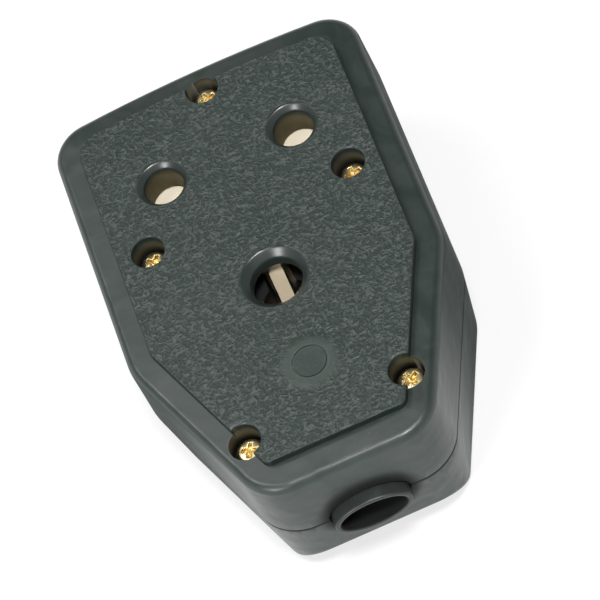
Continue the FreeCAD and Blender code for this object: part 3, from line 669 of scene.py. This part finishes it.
    def halves(self, tree: Tree, look: Look) -> None:
        """Finish the two halves: seam, grain, rim and holes.

        Args:
            tree: The material's tree.
            look: The surface.
        """
        shades = self.shades
        seam = tree.z.band(LAYOUT.seam - shades.seam_half, LAYOUT.seam + shades.seam_half, shades.seam_soft)
        lips = self.discs(tree, LAYOUT.pins, LAYOUT.pin_r + LAYOUT.pin_lip, shades.lip_fade)
        lips = lips + self.discs(tree, (LAYOUT.earth,), LAYOUT.earth_r + LAYOUT.earth_lip, shades.lip_fade)
        panel = tree.z.rise(*LAYOUT.panel_up) * (1 - lips)
        look.gloss = look.gloss * (1 - seam)
        self.lay_grain(tree, look, panel)
        self.shade_rim(tree, look, panel)
        self.shade_holes(tree, look, lips)
        look.tint(seam, self.pit)

    def sleeve(self, tree: Tree, look: Look) -> None:
        """Finish the nozzle, with painted shade in its throat, which is also dull.

        Args:
            tree: The material's tree.
            look: The surface.
        """
        throat = self.oval(tree, LAYOUT.bore_half, self.shades.throat_fade)
        # Painted shade in the nozzle's throat
        look.tint(throat, self.painted_shade)
        look.gloss = look.gloss * (1 - throat)
        look.rough = look.rough + throat * self.shades.throat_rough

    def make(self) -> bpy.types.Material:
        """Build the material.

        Returns:
            The material.
        """
        tree = Tree(bpy.data.materials.new(self.name))
        skin = self.skin
        cloud = tree.noise(skin.cloud, detail=3.0, rough=0.6)
        look = self.base(tree, cloud)
        if self.texture is Texture.GRAINED:
            self.halves(tree, look)
        else:
            self.sleeve(tree, look)
        motes = (1 - tree.cells(skin.mote).rise(*skin.mote_size)) * cloud.rise(*skin.mote_span)
        look.tint(motes * skin.mote_pale, self.dust)
        return tree.surface(
            {"IOR": self.refraction, "Specular IOR Level": self.specular, "Coat Roughness": self.coat_rough},
            {"Base Color": look.colour, "Roughness": look.rough, "Coat Weight": look.gloss,
             "Normal": tree.relief(look.height, 1.0)})


@dataclass(frozen=True)
class PlasticFinish:
    """Moulded plastic with flow marks, fine pits and a soft gloss, and where asked, wear with painted shade
    on its slopes and painted shade low down.
    """

    name: str
    tone: Colour
    shade: Colour
    rough: float = 0.38
    rough_more: float = 0.14
    refraction: float = 1.48
    # How much wear with painted shade lies on the slopes; when not zero, painted shade also lies low down
    wear_and_shade: float = 0.0
    worn_and_shaded: Colour = (0.60, 0.49, 0.33)
    worn_and_shaded_tilt: Span = (0.5, 0.85)
    worn_and_shaded_soft: float = 0.08
    # Painted shade low down, on faces that don't face up
    deep_shade: Colour = (0.020, 0.018, 0.014)
    deep_shade_tilt: Span = (0.1, 0.5)
    deep_shade_up: Span = (24.0, 25.5)
    pit_per_mm: float = 1.8
    pit_deep: float = 0.05

    def make(self) -> bpy.types.Material:
        """Build the material.

        Returns:
            The material.
        """
        tree = Tree(bpy.data.materials.new(self.name))
        flow = tree.noise(0.12, detail=4.0, rough=0.6, warp=0.8)
        pits = tree.cells(self.pit_per_mm)
        colour = tree.mix(flow.rise(0.3, 0.75), self.tone, self.shade)
        if self.wear_and_shade:
            # Slopes are rubbed where the pin slides, and darkened with painted shade
            rubbed = tree.up.band(*self.worn_and_shaded_tilt, self.worn_and_shaded_soft)
            # Painted shade low down
            deep = (1 - tree.up.rise(*self.deep_shade_tilt)) * (1 - tree.z.rise(*self.deep_shade_up))
            colour = tree.mix(rubbed * self.wear_and_shade, colour, self.worn_and_shaded)
            colour = tree.mix(deep, colour, self.deep_shade)
        rough = self.rough + self.rough_more * flow
        bump = tree.relief(0.6 * pits + 0.4 * tree.noise(3.0), self.pit_deep, 0.5)
        return tree.surface({"IOR": self.refraction},
                            {"Base Color": colour, "Roughness": rough, "Normal": bump})


@dataclass(frozen=True)
class MetalFinish:
    """Metal with turning marks, tarnish in patches and rubbed high spots."""

    name: str
    tone: Colour
    tarnish: Colour
    rough: float = 0.22
    patch_per_mm: float = 0.6
    patch_rough: float = 0.22
    marks_per_mm: float = 3.0
    marks_rough: float = 0.08
    marks_deep: float = 0.05

    def make(self) -> bpy.types.Material:
        """Build the material.

        Returns:
            The material.
        """
        tree = Tree(bpy.data.materials.new(self.name))
        patch = tree.noise(self.patch_per_mm, detail=4.0, rough=0.65)
        marks = tree.noise(self.marks_per_mm, detail=3.0, rough=0.7)
        colour = tree.mix(patch.rise(0.42, 0.72), self.tone, self.tarnish)
        rough = self.rough + self.patch_rough * patch.rise(0.4, 0.8) + self.marks_rough * marks
        bump = tree.relief(0.7 * marks + 0.3 * patch, self.marks_deep, 0.6)
        return tree.surface({"Metallic": 1.0}, {"Base Color": colour, "Roughness": rough, "Normal": bump})


FINISHES: dict[Slot, RubberFinish | PlasticFinish | MetalFinish] = {
    Slot.RUBBER: RubberFinish("moulded_rubber", Texture.GRAINED),
    Slot.SLEEVE: RubberFinish("sleeve_rubber", Texture.SMOOTH, (0.014, 0.018, 0.017)),
    Slot.SCREW: MetalFinish("bright_brass", (0.95, 0.81, 0.47), (0.66, 0.47, 0.19)),
    Slot.CONTACT: MetalFinish("plain_brass", (0.78, 0.58, 0.27), (0.52, 0.35, 0.14), 0.3),
    # The cream slide has wear with painted shade on its slopes, and painted shade low down
    Slot.SHUTTER: PlasticFinish("cream_plastic", (0.94, 0.85, 0.68), (0.88, 0.78, 0.60), wear_and_shade=0.9),
    Slot.INSULATOR: PlasticFinish("dark_insulator", (0.008, 0.008, 0.007), (0.014, 0.013, 0.012), 0.5),
    Slot.SPRING: MetalFinish("spring_steel", (0.62, 0.61, 0.60), (0.40, 0.38, 0.36), 0.28),
    Slot.PLATED: MetalFinish("plated_steel", (0.70, 0.70, 0.67), (0.52, 0.50, 0.45), 0.3),
    Slot.CLAMP: PlasticFinish("clamp_plastic", (0.012, 0.013, 0.013), (0.020, 0.020, 0.020), 0.6),
}
MATERIALS = {slot: finish.make() for slot, finish in FINISHES.items()}


def coat(piece: bpy.types.Object, slot: Slot) -> None:
    """Give a piece the one finish of its slot."""
    piece.data.materials.clear()
    piece.data.materials.append(MATERIALS[slot])


def merged(node: str) -> bmesh.types.BMesh:
    """Copy a CAD node's mesh, joined along its seams and with its flat faces whole.

    Args:
        node: The node's name.

    Returns:
        The copy.
    """
    bm = bmesh.new()
    bm.from_mesh(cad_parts[node].data)
    bmesh.ops.remove_doubles(bm, verts=bm.verts, dist=WELD)
    bmesh.ops.dissolve_limit(bm, angle_limit=math.radians(FLAT_DEG), verts=bm.verts, edges=bm.edges,
                             delimit={"NORMAL"})
    return bm


def round_edges(bm: bmesh.types.BMesh, wanted: Callable[[bmesh.types.BMEdge], bool], size_mm: float,
                steps: int) -> None:
    """Round edges.

    Args:
        bm: The mesh.
        wanted: A test for the edges to round.
        size_mm: How far the rounding reaches.
        steps: Its facets.
    """
    edges = [edge for edge in bm.edges if wanted(edge)]
    LOG.info("rounded edges: %d", len(edges))
    bmesh.ops.bevel(bm, geom=edges, offset=size_mm * MM, offset_type="OFFSET", segments=steps, profile=0.5,
                    affect="EDGES", clamp_overlap=True, material=-1)


def corner(least_deg: float) -> Callable[[bmesh.types.BMEdge], bool]:
    """Make a test for edges that turn outwards.

    Args:
        least_deg: The least angle of the turn.

    Returns:
        The test.
    """
    def wanted(edge: bmesh.types.BMEdge) -> bool:
        """Tell whether the edge is such a corner."""
        return edge.is_manifold and edge.is_convex and edge.calc_face_angle() > math.radians(least_deg)
    return wanted


def on_ring(edge: bmesh.types.BMEdge, place: Place, radius: float, height: float) -> bool:
    """Tell whether an edge is part of a level circle.

    Args:
        edge: The edge.
        place: The circle's centre in plan, in millimetres.
        radius: Its radius.
        height: Its level.

    Returns:
        Whether both ends are on the circle.
    """
    for vert in edge.verts:
        x, y, z = (value / MM for value in vert.co)
        if abs(z - height) > LEVEL_MM or abs(math.hypot(x - place[0], y - place[1]) - radius) > REACH_MM:
            return False
    return True


def cut_out(blank: bmesh.types.BMesh, tool: bmesh.types.BMesh) -> bmesh.types.BMesh:
    """Cut one mesh out of another.

    Args:
        blank: The mesh that is cut, and freed.
        tool: The mesh that is taken out of it, and freed.

    Returns:
        The cut mesh.
    """
    objects = []
    for name, bm in (("blank", blank), ("tool", tool)):
        objects.append(bpy.data.objects.new(name, bpy.data.meshes.new(name)))
        bm.to_mesh(objects[-1].data)
        bm.free()
        bpy.context.scene.collection.objects.link(objects[-1])
    cut = objects[0].modifiers.new("cut", "BOOLEAN")
    cut.operation, cut.solver, cut.object = "DIFFERENCE", "EXACT", objects[1]
    result = bmesh.new()
    result.from_object(objects[0], bpy.context.evaluated_depsgraph_get())
    for item in objects:
        bpy.data.meshes.remove(item.data)
    return result


@dataclass
class Assembly:
    """Pieces that ride on one body; their sizes are in millimetres."""

    body: Body = Body.HOUSING
    pieces: dict[str, Slot] = field(default_factory=dict)

    def build(self) -> None:
        """Build the meshes."""
        raise NotImplementedError

    def settle(self, name: str, bm: bmesh.types.BMesh, slot: Slot, replaced: str) -> bpy.types.Object:
        """Make a finished piece of a bmesh.

        Args:
            name: The piece's name.
            bm: Its mesh, which is freed.
            slot: The slot that gives its finish.
            replaced: The CAD node it stands for.

        Returns:
            The piece.
        """
        mesh = bpy.data.meshes.new(name)
        for face in bm.faces:
            face.smooth = True
        bm.to_mesh(mesh)
        bm.free()
        mesh.set_sharp_from_angle(angle=math.radians(SHARP_DEG))
        piece = bpy.data.objects.new(name, mesh)
        bpy.context.scene.collection.objects.link(piece)
        even = piece.modifiers.new("even_shading", "WEIGHTED_NORMAL")
        even.keep_sharp = True
        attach(piece, self.body.value)
        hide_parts(replaced)
        self.pieces[name] = slot
        return piece

    def dress(self) -> None:
        """Give each piece the finish of its slot, and report it."""
        for name, slot in self.pieces.items():
            piece = bpy.data.objects[name]
            coat(piece, slot)
            LOG.info("%s: %s, %d faces", type(self).__name__, name, len(piece.data.polygons))


@dataclass
class Housing(Assembly):
    """The two moulded rubber halves."""

    lip_round: float = 0.34
    lip_steps: int = 5
    mouth_bevel: float = 0.3
    mouth_round: float = 0.12
    mouth_steps: int = 2
    ring_wide: float = 0.4
    ring_deep: float = 0.18
    ring_draft: float = 0.08
    ring_steps: int = 72
    foot_high: float = 1.3
    foot_turn_deg: float = 25.0
    foot_round: float = 0.5
    foot_steps: int = 4

    def is_lip(self, edge: bmesh.types.BMEdge) -> bool:
        """Tell whether an edge bounds the bevelled lip of a pin hole.

        Args:
            edge: The edge.

        Returns:
            Whether it is on the lip's outer or inner circle.
        """
        rings = [(place, LAYOUT.pin_r, LAYOUT.pin_lip) for place in LAYOUT.pins]
        rings.append((LAYOUT.earth, LAYOUT.earth_r, LAYOUT.earth_lip))
        return any(on_ring(edge, place, radius + lip, LAYOUT.face)
                   or on_ring(edge, place, radius, LAYOUT.face - lip) for place, radius, lip in rings)

    def is_mouth(self, edge: bmesh.types.BMEdge) -> bool:
        """Tell whether an edge bounds the small bevel of a screw hole.

        Args:
            edge: The edge.

        Returns:
            Whether it is on the bevel's outer or inner circle.
        """
        wide, low = LAYOUT.screw_r + self.mouth_bevel, LAYOUT.face - self.mouth_bevel
        return any(on_ring(edge, place, wide, LAYOUT.face) or on_ring(edge, place, LAYOUT.screw_r, low)
                   for place in LAYOUT.screws)

    def is_foot(self, edge: bmesh.types.BMEdge) -> bool:
        """Tell whether an edge bounds the bevel round the flat back."""
        low = all(vert.co.z < self.foot_high * MM for vert in edge.verts)
        return low and corner(self.foot_turn_deg)(edge)

    def ring_tool(self) -> bmesh.types.BMesh:
        """Spin the ring that cuts the round mark's groove.

        Returns:
            Its mesh.
        """
        bm = bmesh.new()
        low, high = LAYOUT.face - self.ring_deep, LAYOUT.face + self.ring_deep
        inner, outer = LAYOUT.spot_r - self.ring_wide, LAYOUT.spot_r
        middle = Vector((*LAYOUT.spot, 0.0)) * MM
        draft = self.ring_draft
        section = ((inner, high), (inner + draft, low), (outer - draft, low), (outer, high))
        corners = [bm.verts.new(middle + Vector((reach, 0.0, height)) * MM) for reach, height in section]
        edges = [bm.edges.new(pair) for pair in zip(corners, corners[1:] + corners[:1])]
        bmesh.ops.spin(bm, geom=corners + edges, cent=middle, axis=Vector((0.0, 0.0, 1.0)), angle=math.tau,
                       steps=self.ring_steps, use_merge=True)
        bmesh.ops.recalc_face_normals(bm, faces=bm.faces)
        return bm

    def build(self) -> None:
        """Build both halves over the CAD's shells, with softer edges and the round mark's groove."""
        front = merged("front_shell")
        round_edges(front, self.is_lip, self.lip_round, self.lip_steps)
        round_edges(front, self.is_mouth, self.mouth_round, self.mouth_steps)
        self.settle("front_half", cut_out(front, self.ring_tool()), Slot.RUBBER, "front_shell")
        rear = merged("rear_shell")
        round_edges(rear, self.is_foot, self.foot_round, self.foot_steps)
        self.settle("rear_half", rear, Slot.RUBBER, "rear_shell")


@dataclass
class Nozzle(Assembly):
    """The oval rubber sleeve at the narrow end, lofted from rings."""

    bore: Place = (6.1, 3.25)
    wall: Place = (7.2, 4.2)
    flange: Place = (9.5, 6.2)
    mouth: float = -46.9
    flange_front: float = -41.7
    flange_back: float = -39.7
    back: float = -35.9
    outer_round: float = 0.4
    inner_round: float = 0.45
    round_steps: int = 6
    steps: int = 96

    def arc(self, half: Place, radius: float, inward: float) -> list[Point]:
        """List the rings of a rounded edge at the mouth, from the side to the end.

        Args:
            half: The half width and half height at the side.
            radius: The rounding.
            inward: 1 where the end lies inside the side, -1 where it lies outside.

        Returns:
            Half width, half height and place along of each ring.
        """
        rings = []
        for step in range(self.round_steps + 1):
            turn = math.radians(90.0 * step / self.round_steps)
            move = inward * radius * (1 - math.cos(turn))
            rings.append((half[0] - move, half[1] - move, self.mouth + radius * (1 - math.sin(turn))))
        return rings

    def rings(self) -> list[Point]:
        """List the rings once round the wall, from the bore's inner end.

        Returns:
            Half width, half height and place along of each ring.
        """
        bore = [(*self.bore, self.back), *self.arc(self.bore, self.inner_round, -1.0)]
        outside = list(reversed(self.arc(self.wall, self.outer_round, 1.0)))
        collar = [(*self.wall, self.flange_front), (*self.flange, self.flange_front),
                  (*self.flange, self.flange_back), (*self.wall, self.flange_back), (*self.wall, self.back)]
        return bore + outside + collar

    def build(self) -> None:
        """Build the sleeve in place of its CAD node, grown ring by ring."""
        rings = self.rings()
        bm = bmesh.new()
        turn = Matrix.Rotation(math.radians(90.0), 4, "X")
        start = Matrix.Diagonal((rings[0][0], rings[0][1], 1.0, 1.0))
        bmesh.ops.create_circle(bm, cap_ends=False, radius=MM, segments=self.steps, matrix=turn @ start)
        bmesh.ops.translate(bm, verts=bm.verts, vec=Vector((0.0, rings[0][2] * MM, 0.0)))
        edges = list(bm.edges)
        for last, ring in zip(rings, rings[1:] + rings[:1]):
            grown = bmesh.ops.extrude_edge_only(bm, edges=edges)["geom"]
            verts = [item for item in grown if isinstance(item, bmesh.types.BMVert)]
            edges = [item for item in grown if isinstance(item, bmesh.types.BMEdge)]
            bmesh.ops.scale(bm, verts=verts, vec=Vector((ring[0] / last[0], 1.0, ring[1] / last[1])))
            bmesh.ops.translate(bm, verts=verts, vec=Vector((0.0, (ring[2] - last[2]) * MM, 0.0)))
        bmesh.ops.remove_doubles(bm, verts=bm.verts, dist=WELD_NEW)
        bmesh.ops.translate(bm, verts=bm.verts, vec=Vector((0.0, 0.0, LAYOUT.seam * MM)))
        bmesh.ops.recalc_face_normals(bm, faces=bm.faces)
        self.settle("nozzle", bm, Slot.SLEEVE, "cord_sleeve")


@dataclass
class CaseScrews(Assembly):
    """Five brass pan-head screws with a cross recess, sunk in the face.

    The shoulder's points, the foot and the tip are given in shares of the head or the shank.
    """

    seat: float = 27.3
    head_r: float = 2.5
    head_high: float = 1.9
    crown_r: float = 1.72
    shoulder: tuple[Place, ...] = ((0.82, 0.94), (0.93, 0.82), (0.985, 0.64), (1.0, 0.42))
    foot_share: float = 0.97
    foot_high: float = 0.12
    shank_r: float = 1.75
    shank_low: float = -16.8
    tip_share: float = 0.6
    tip_long: float = 0.6
    arm_long: float = 1.5
    arm_half: float = 0.38
    recess_deep: float = 1.05
    recess_taper: float = 0.74
    recess_point: float = 0.3
    recess_round: float = 0.10
    recess_steps: int = 2
    steps: int = 48
    turns_deg: tuple[float, ...] = (20.0, 52.0, 12.0, 68.0, 30.0)

    def one(self) -> bpy.types.Mesh:
        """Model one screw with its seat at the origin.

        Returns:
            Its mesh.
        """
        bm = bmesh.new()
        top, r = self.head_high, self.head_r
        profile = [(self.crown_r, top), *((r * across, top * up) for across, up in self.shoulder),
                   (r, self.foot_high), (r * self.foot_share, 0.0), (self.shank_r, 0.0),
                   (self.shank_r, self.shank_low + self.tip_long),
                   (self.shank_r * self.tip_share, self.shank_low), (0.0, self.shank_low)]
        verts = [bm.verts.new((x * MM, 0.0, z * MM)) for x, z in profile]
        edges = [bm.edges.new(pair) for pair in zip(verts, verts[1:])]
        bmesh.ops.spin(bm, geom=verts + edges, cent=(0, 0, 0), axis=(0, 0, 1), angle=math.tau,
                       steps=self.steps, use_merge=True)
        bmesh.ops.remove_doubles(bm, verts=bm.verts, dist=WELD_NEW)
        rim = [edge for edge in bm.edges if on_ring(edge, (0.0, 0.0), self.crown_r, top)]
        self.recess(bm, rim)
        bmesh.ops.recalc_face_normals(bm, faces=bm.faces)
        mesh = bpy.data.meshes.new("case_screw")
        bm.to_mesh(mesh)
        bm.free()
        return mesh

    def recess(self, bm: bmesh.types.BMesh, rim: list[bmesh.types.BMEdge]) -> None:
        """Close the crown with a cross recess in it.

        Args:
            bm: The screw's mesh.
            rim: The open edges of its crown.
        """
        long, half = self.arm_long * MM, self.arm_half * MM
        quarter = [(half, -half), (long, -half), (long, half), (half, half), (half, long), (-half, long)]
        outline = quarter + [(-x, -y) for x, y in quarter]
        loop = [bm.verts.new((x, y, self.head_high * MM)) for x, y in outline]
        cross = [bm.edges.new(pair) for pair in zip(loop, loop[1:] + loop[:1])]
        bmesh.ops.triangle_fill(bm, edges=rim + cross, use_beauty=True, normal=(0, 0, 1))
        sunk = bmesh.ops.extrude_edge_only(bm, edges=cross)["geom"]
        low = [item for item in sunk if isinstance(item, bmesh.types.BMVert)]
        bmesh.ops.translate(bm, verts=low, vec=(0, 0, -self.recess_deep * MM))
        bmesh.ops.scale(bm, verts=low, vec=(self.recess_taper, self.recess_taper, 1.0))
        bottom = [item for item in sunk if isinstance(item, bmesh.types.BMEdge)
                  and item.verts[0] in low and item.verts[1] in low]
        floor = bmesh.ops.contextual_create(bm, geom=bottom)
        bmesh.ops.poke(bm, faces=floor["faces"], offset=-self.recess_point * self.recess_deep * MM)
        mouth = set(cross)
        round_edges(bm, lambda edge: edge in mouth, self.recess_round, self.recess_steps)

    def build(self) -> None:
        """Build the five screws as one piece."""
        bm = bmesh.new()
        screw = self.one()
        for place, turn in zip(LAYOUT.screws, self.turns_deg):
            before = set(bm.verts)
            bm.from_mesh(screw)
            added = [vert for vert in bm.verts if vert not in before]
            turned = Matrix.Rotation(math.radians(turn), 3, "Z")
            bmesh.ops.rotate(bm, verts=added, cent=(0, 0, 0), matrix=turned)
            bmesh.ops.translate(bm, verts=added, vec=Vector((*place, self.seat)) * MM)
        bpy.data.meshes.remove(screw)
        self.settle("sunk_screws", bm, Slot.SCREW, "case_screws")


@dataclass
class ShutterSlide(Assembly):
    """The cream slide behind the pin holes."""

    body: Body = Body.SHUTTER
    edge_turn_deg: float = 40.0
    edge_round: float = 0.22
    edge_steps: int = 2

    def build(self) -> None:
        """Build the slide over its CAD node, with its corners rounded."""
        slide = merged("shutter")
        round_edges(slide, corner(self.edge_turn_deg), self.edge_round, self.edge_steps)
        self.settle("shutter_slide_plate", slide, Slot.SHUTTER, "shutter")


@dataclass
class ClosingSpring(Assembly):
    """The coil spring that closes the slide."""

    fixed_end: Point = (0.0, 24.586, 19.9)
    kept: float = 0.52

    def build(self) -> None:
        """Build the coil over its CAD node, with a mesh of its own."""
        coil = self.settle("closing_spring", merged("shutter_spring"), Slot.SPRING, "shutter_spring")
        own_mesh(coil)


@dataclass
class Workings(Assembly):
    """Inner pieces that keep the shapes of their CAD nodes."""

    nodes: dict[str, Slot] = field(default_factory=lambda: {
        "contact_base": Slot.INSULATOR, "contact_cover": Slot.INSULATOR, "live_contact": Slot.CONTACT,
        "neutral_contact": Slot.CONTACT, "earth_contact": Slot.CONTACT, "line_bands": Slot.SPRING,
        "earth_band": Slot.SPRING, "terminal_screws": Slot.SCREW, "cover_screws": Slot.PLATED,
        "case_inserts": Slot.CONTACT, "clamp_inserts": Slot.CONTACT, "clamp_screws": Slot.PLATED,
        "cord_clamp": Slot.CLAMP})

    def build(self) -> None:
        """Take the nodes as they are."""
        self.pieces = {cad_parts[node].name: slot for node, slot in self.nodes.items()}


@dataclass(frozen=True)
class Lamp:
    """A round lamp that faces the object; lengths in metres, power in watts."""

    name: str
    place: Point
    size: float
    power: float

    def hang(self) -> None:
        """Put the lamp in its place."""
        data = bpy.data.lights.new(self.name, "AREA")
        data.shape = "DISK"
        data.size = self.size
        data.energy = self.power
        lamp = bpy.data.objects.new(self.name, data)
        bpy.context.scene.collection.objects.link(lamp)
        spot = Vector(self.place)
        lamp.matrix_world = Matrix.Translation(spot) @ (-spot).to_track_quat("-Z", "Y").to_matrix().to_4x4()


@dataclass
class Studio:
    """Pale floor, soft lamps and a white surround, in metres."""

    floor_half: float = 3.0
    floor_tone: Colour = (0.97, 0.97, 0.97)
    glow: float = 0.66
    surround: float = 0.20
    white: Colour = (1.0, 1.0, 1.0)
    ceiling: Colour = (0.15, 0.16, 0.155)
    ceiling_lift: Span = (0.25, 0.75)
    walls: Colour = (0.40, 0.42, 0.41)
    walls_lift: Span = (-0.02, 0.08)
    lamps: tuple[Lamp, ...] = (
        Lamp("front", (0.14, -0.38, 1.13), 0.26, 11.2),
        Lamp("side", (-0.69, -0.77, 0.66), 0.36, 7.0),
        Lamp("top", (-0.49, 0.42, 1.08), 0.64, 5.2))

    def build(self) -> None:
        """Build the floor, the lamps and the world."""
        bm = bmesh.new()
        bmesh.ops.create_grid(bm, x_segments=1, y_segments=1, size=self.floor_half)
        mesh = bpy.data.meshes.new("floor")
        bm.to_mesh(mesh)
        bm.free()
        floor = bpy.data.objects.new("floor", mesh)
        bpy.context.scene.collection.objects.link(floor)
        floor.data.materials.append(self.floor_finish())
        for lamp in self.lamps:
            lamp.hang()
        self.world()

    def floor_finish(self) -> bpy.types.Material:
        """Make the floor's finish: white to the eye, with the object's shadow kept.

        Returns:
            The material.
        """
        tree = Tree(bpy.data.materials.new("pale_floor"))
        matt = tree.add("BsdfDiffuse", None, {"Color": self.floor_tone})
        glow = tree.add("Emission", None, {"Color": self.white, "Strength": 1.0})
        tree.close(tree.add("MixShader", None, {0: tree.seen() * self.glow, 1: matt, 2: glow}))
        return tree.owner

    def world(self) -> None:
        """Light the surround softly, and show it white to the eye and in reflections."""
        world = bpy.data.worlds.new("surround")
        bpy.context.scene.world = world
        tree = Tree(world)
        lift = tree.part(tree.add("TexCoord", output="Generated"), "Z")
        shade = tree.mix(lift.rise(*self.walls_lift), self.white, self.walls)
        shade = tree.mix(lift.rise(*self.ceiling_lift), shade, self.ceiling)
        dim = tree.add("Background", None, {"Color": self.white, "Strength": self.surround})
        shown = tree.add("Background", None, {"Color": shade, "Strength": 1.0})
        tree.close(tree.add("MixShader", None, {0: tree.seen(), 1: dim, 2: shown}), "World")


@dataclass
class Viewpoint:
    """The camera at the photograph's place."""

    place: Point = (0.045646, -0.382075, 0.571100)
    right: Point = (0.911741, -0.300506, -0.280042)
    up: Point = (0.405494, 0.767311, 0.496798)
    back: Point = (0.065588, -0.566507, 0.821443)
    lens: float = 226.924
    sensor: float = 36.0
    near: float = 0.01
    far: float = 50.0

    def build(self) -> None:
        """Set up the camera."""
        data = bpy.data.cameras.new("photo_view")
        data.sensor_width = self.sensor
        data.lens = self.lens
        data.clip_start = self.near
        data.clip_end = self.far
        camera = bpy.data.objects.new("photo_view", data)
        bpy.context.scene.collection.objects.link(camera)
        turn = Matrix((self.right, self.up, self.back)).transposed().to_4x4()
        camera.matrix_world = Matrix.Translation(Vector(self.place)) @ turn
        bpy.context.scene.camera = camera


def main() -> None:
    """Build the sub-assemblies in order, dress them, and set up the studio and the camera."""
    logging.basicConfig(level=logging.INFO, format="%(name)s: %(message)s")
    bpy.context.scene.view_settings.view_transform = "Standard"
    for assembly in (Housing(), Nozzle(), CaseScrews(), ShutterSlide(), ClosingSpring(), Workings()):
        assembly.build()
        assembly.dress()
    Studio().build()
    Viewpoint().build()


if __name__ == "__main__":
    main()
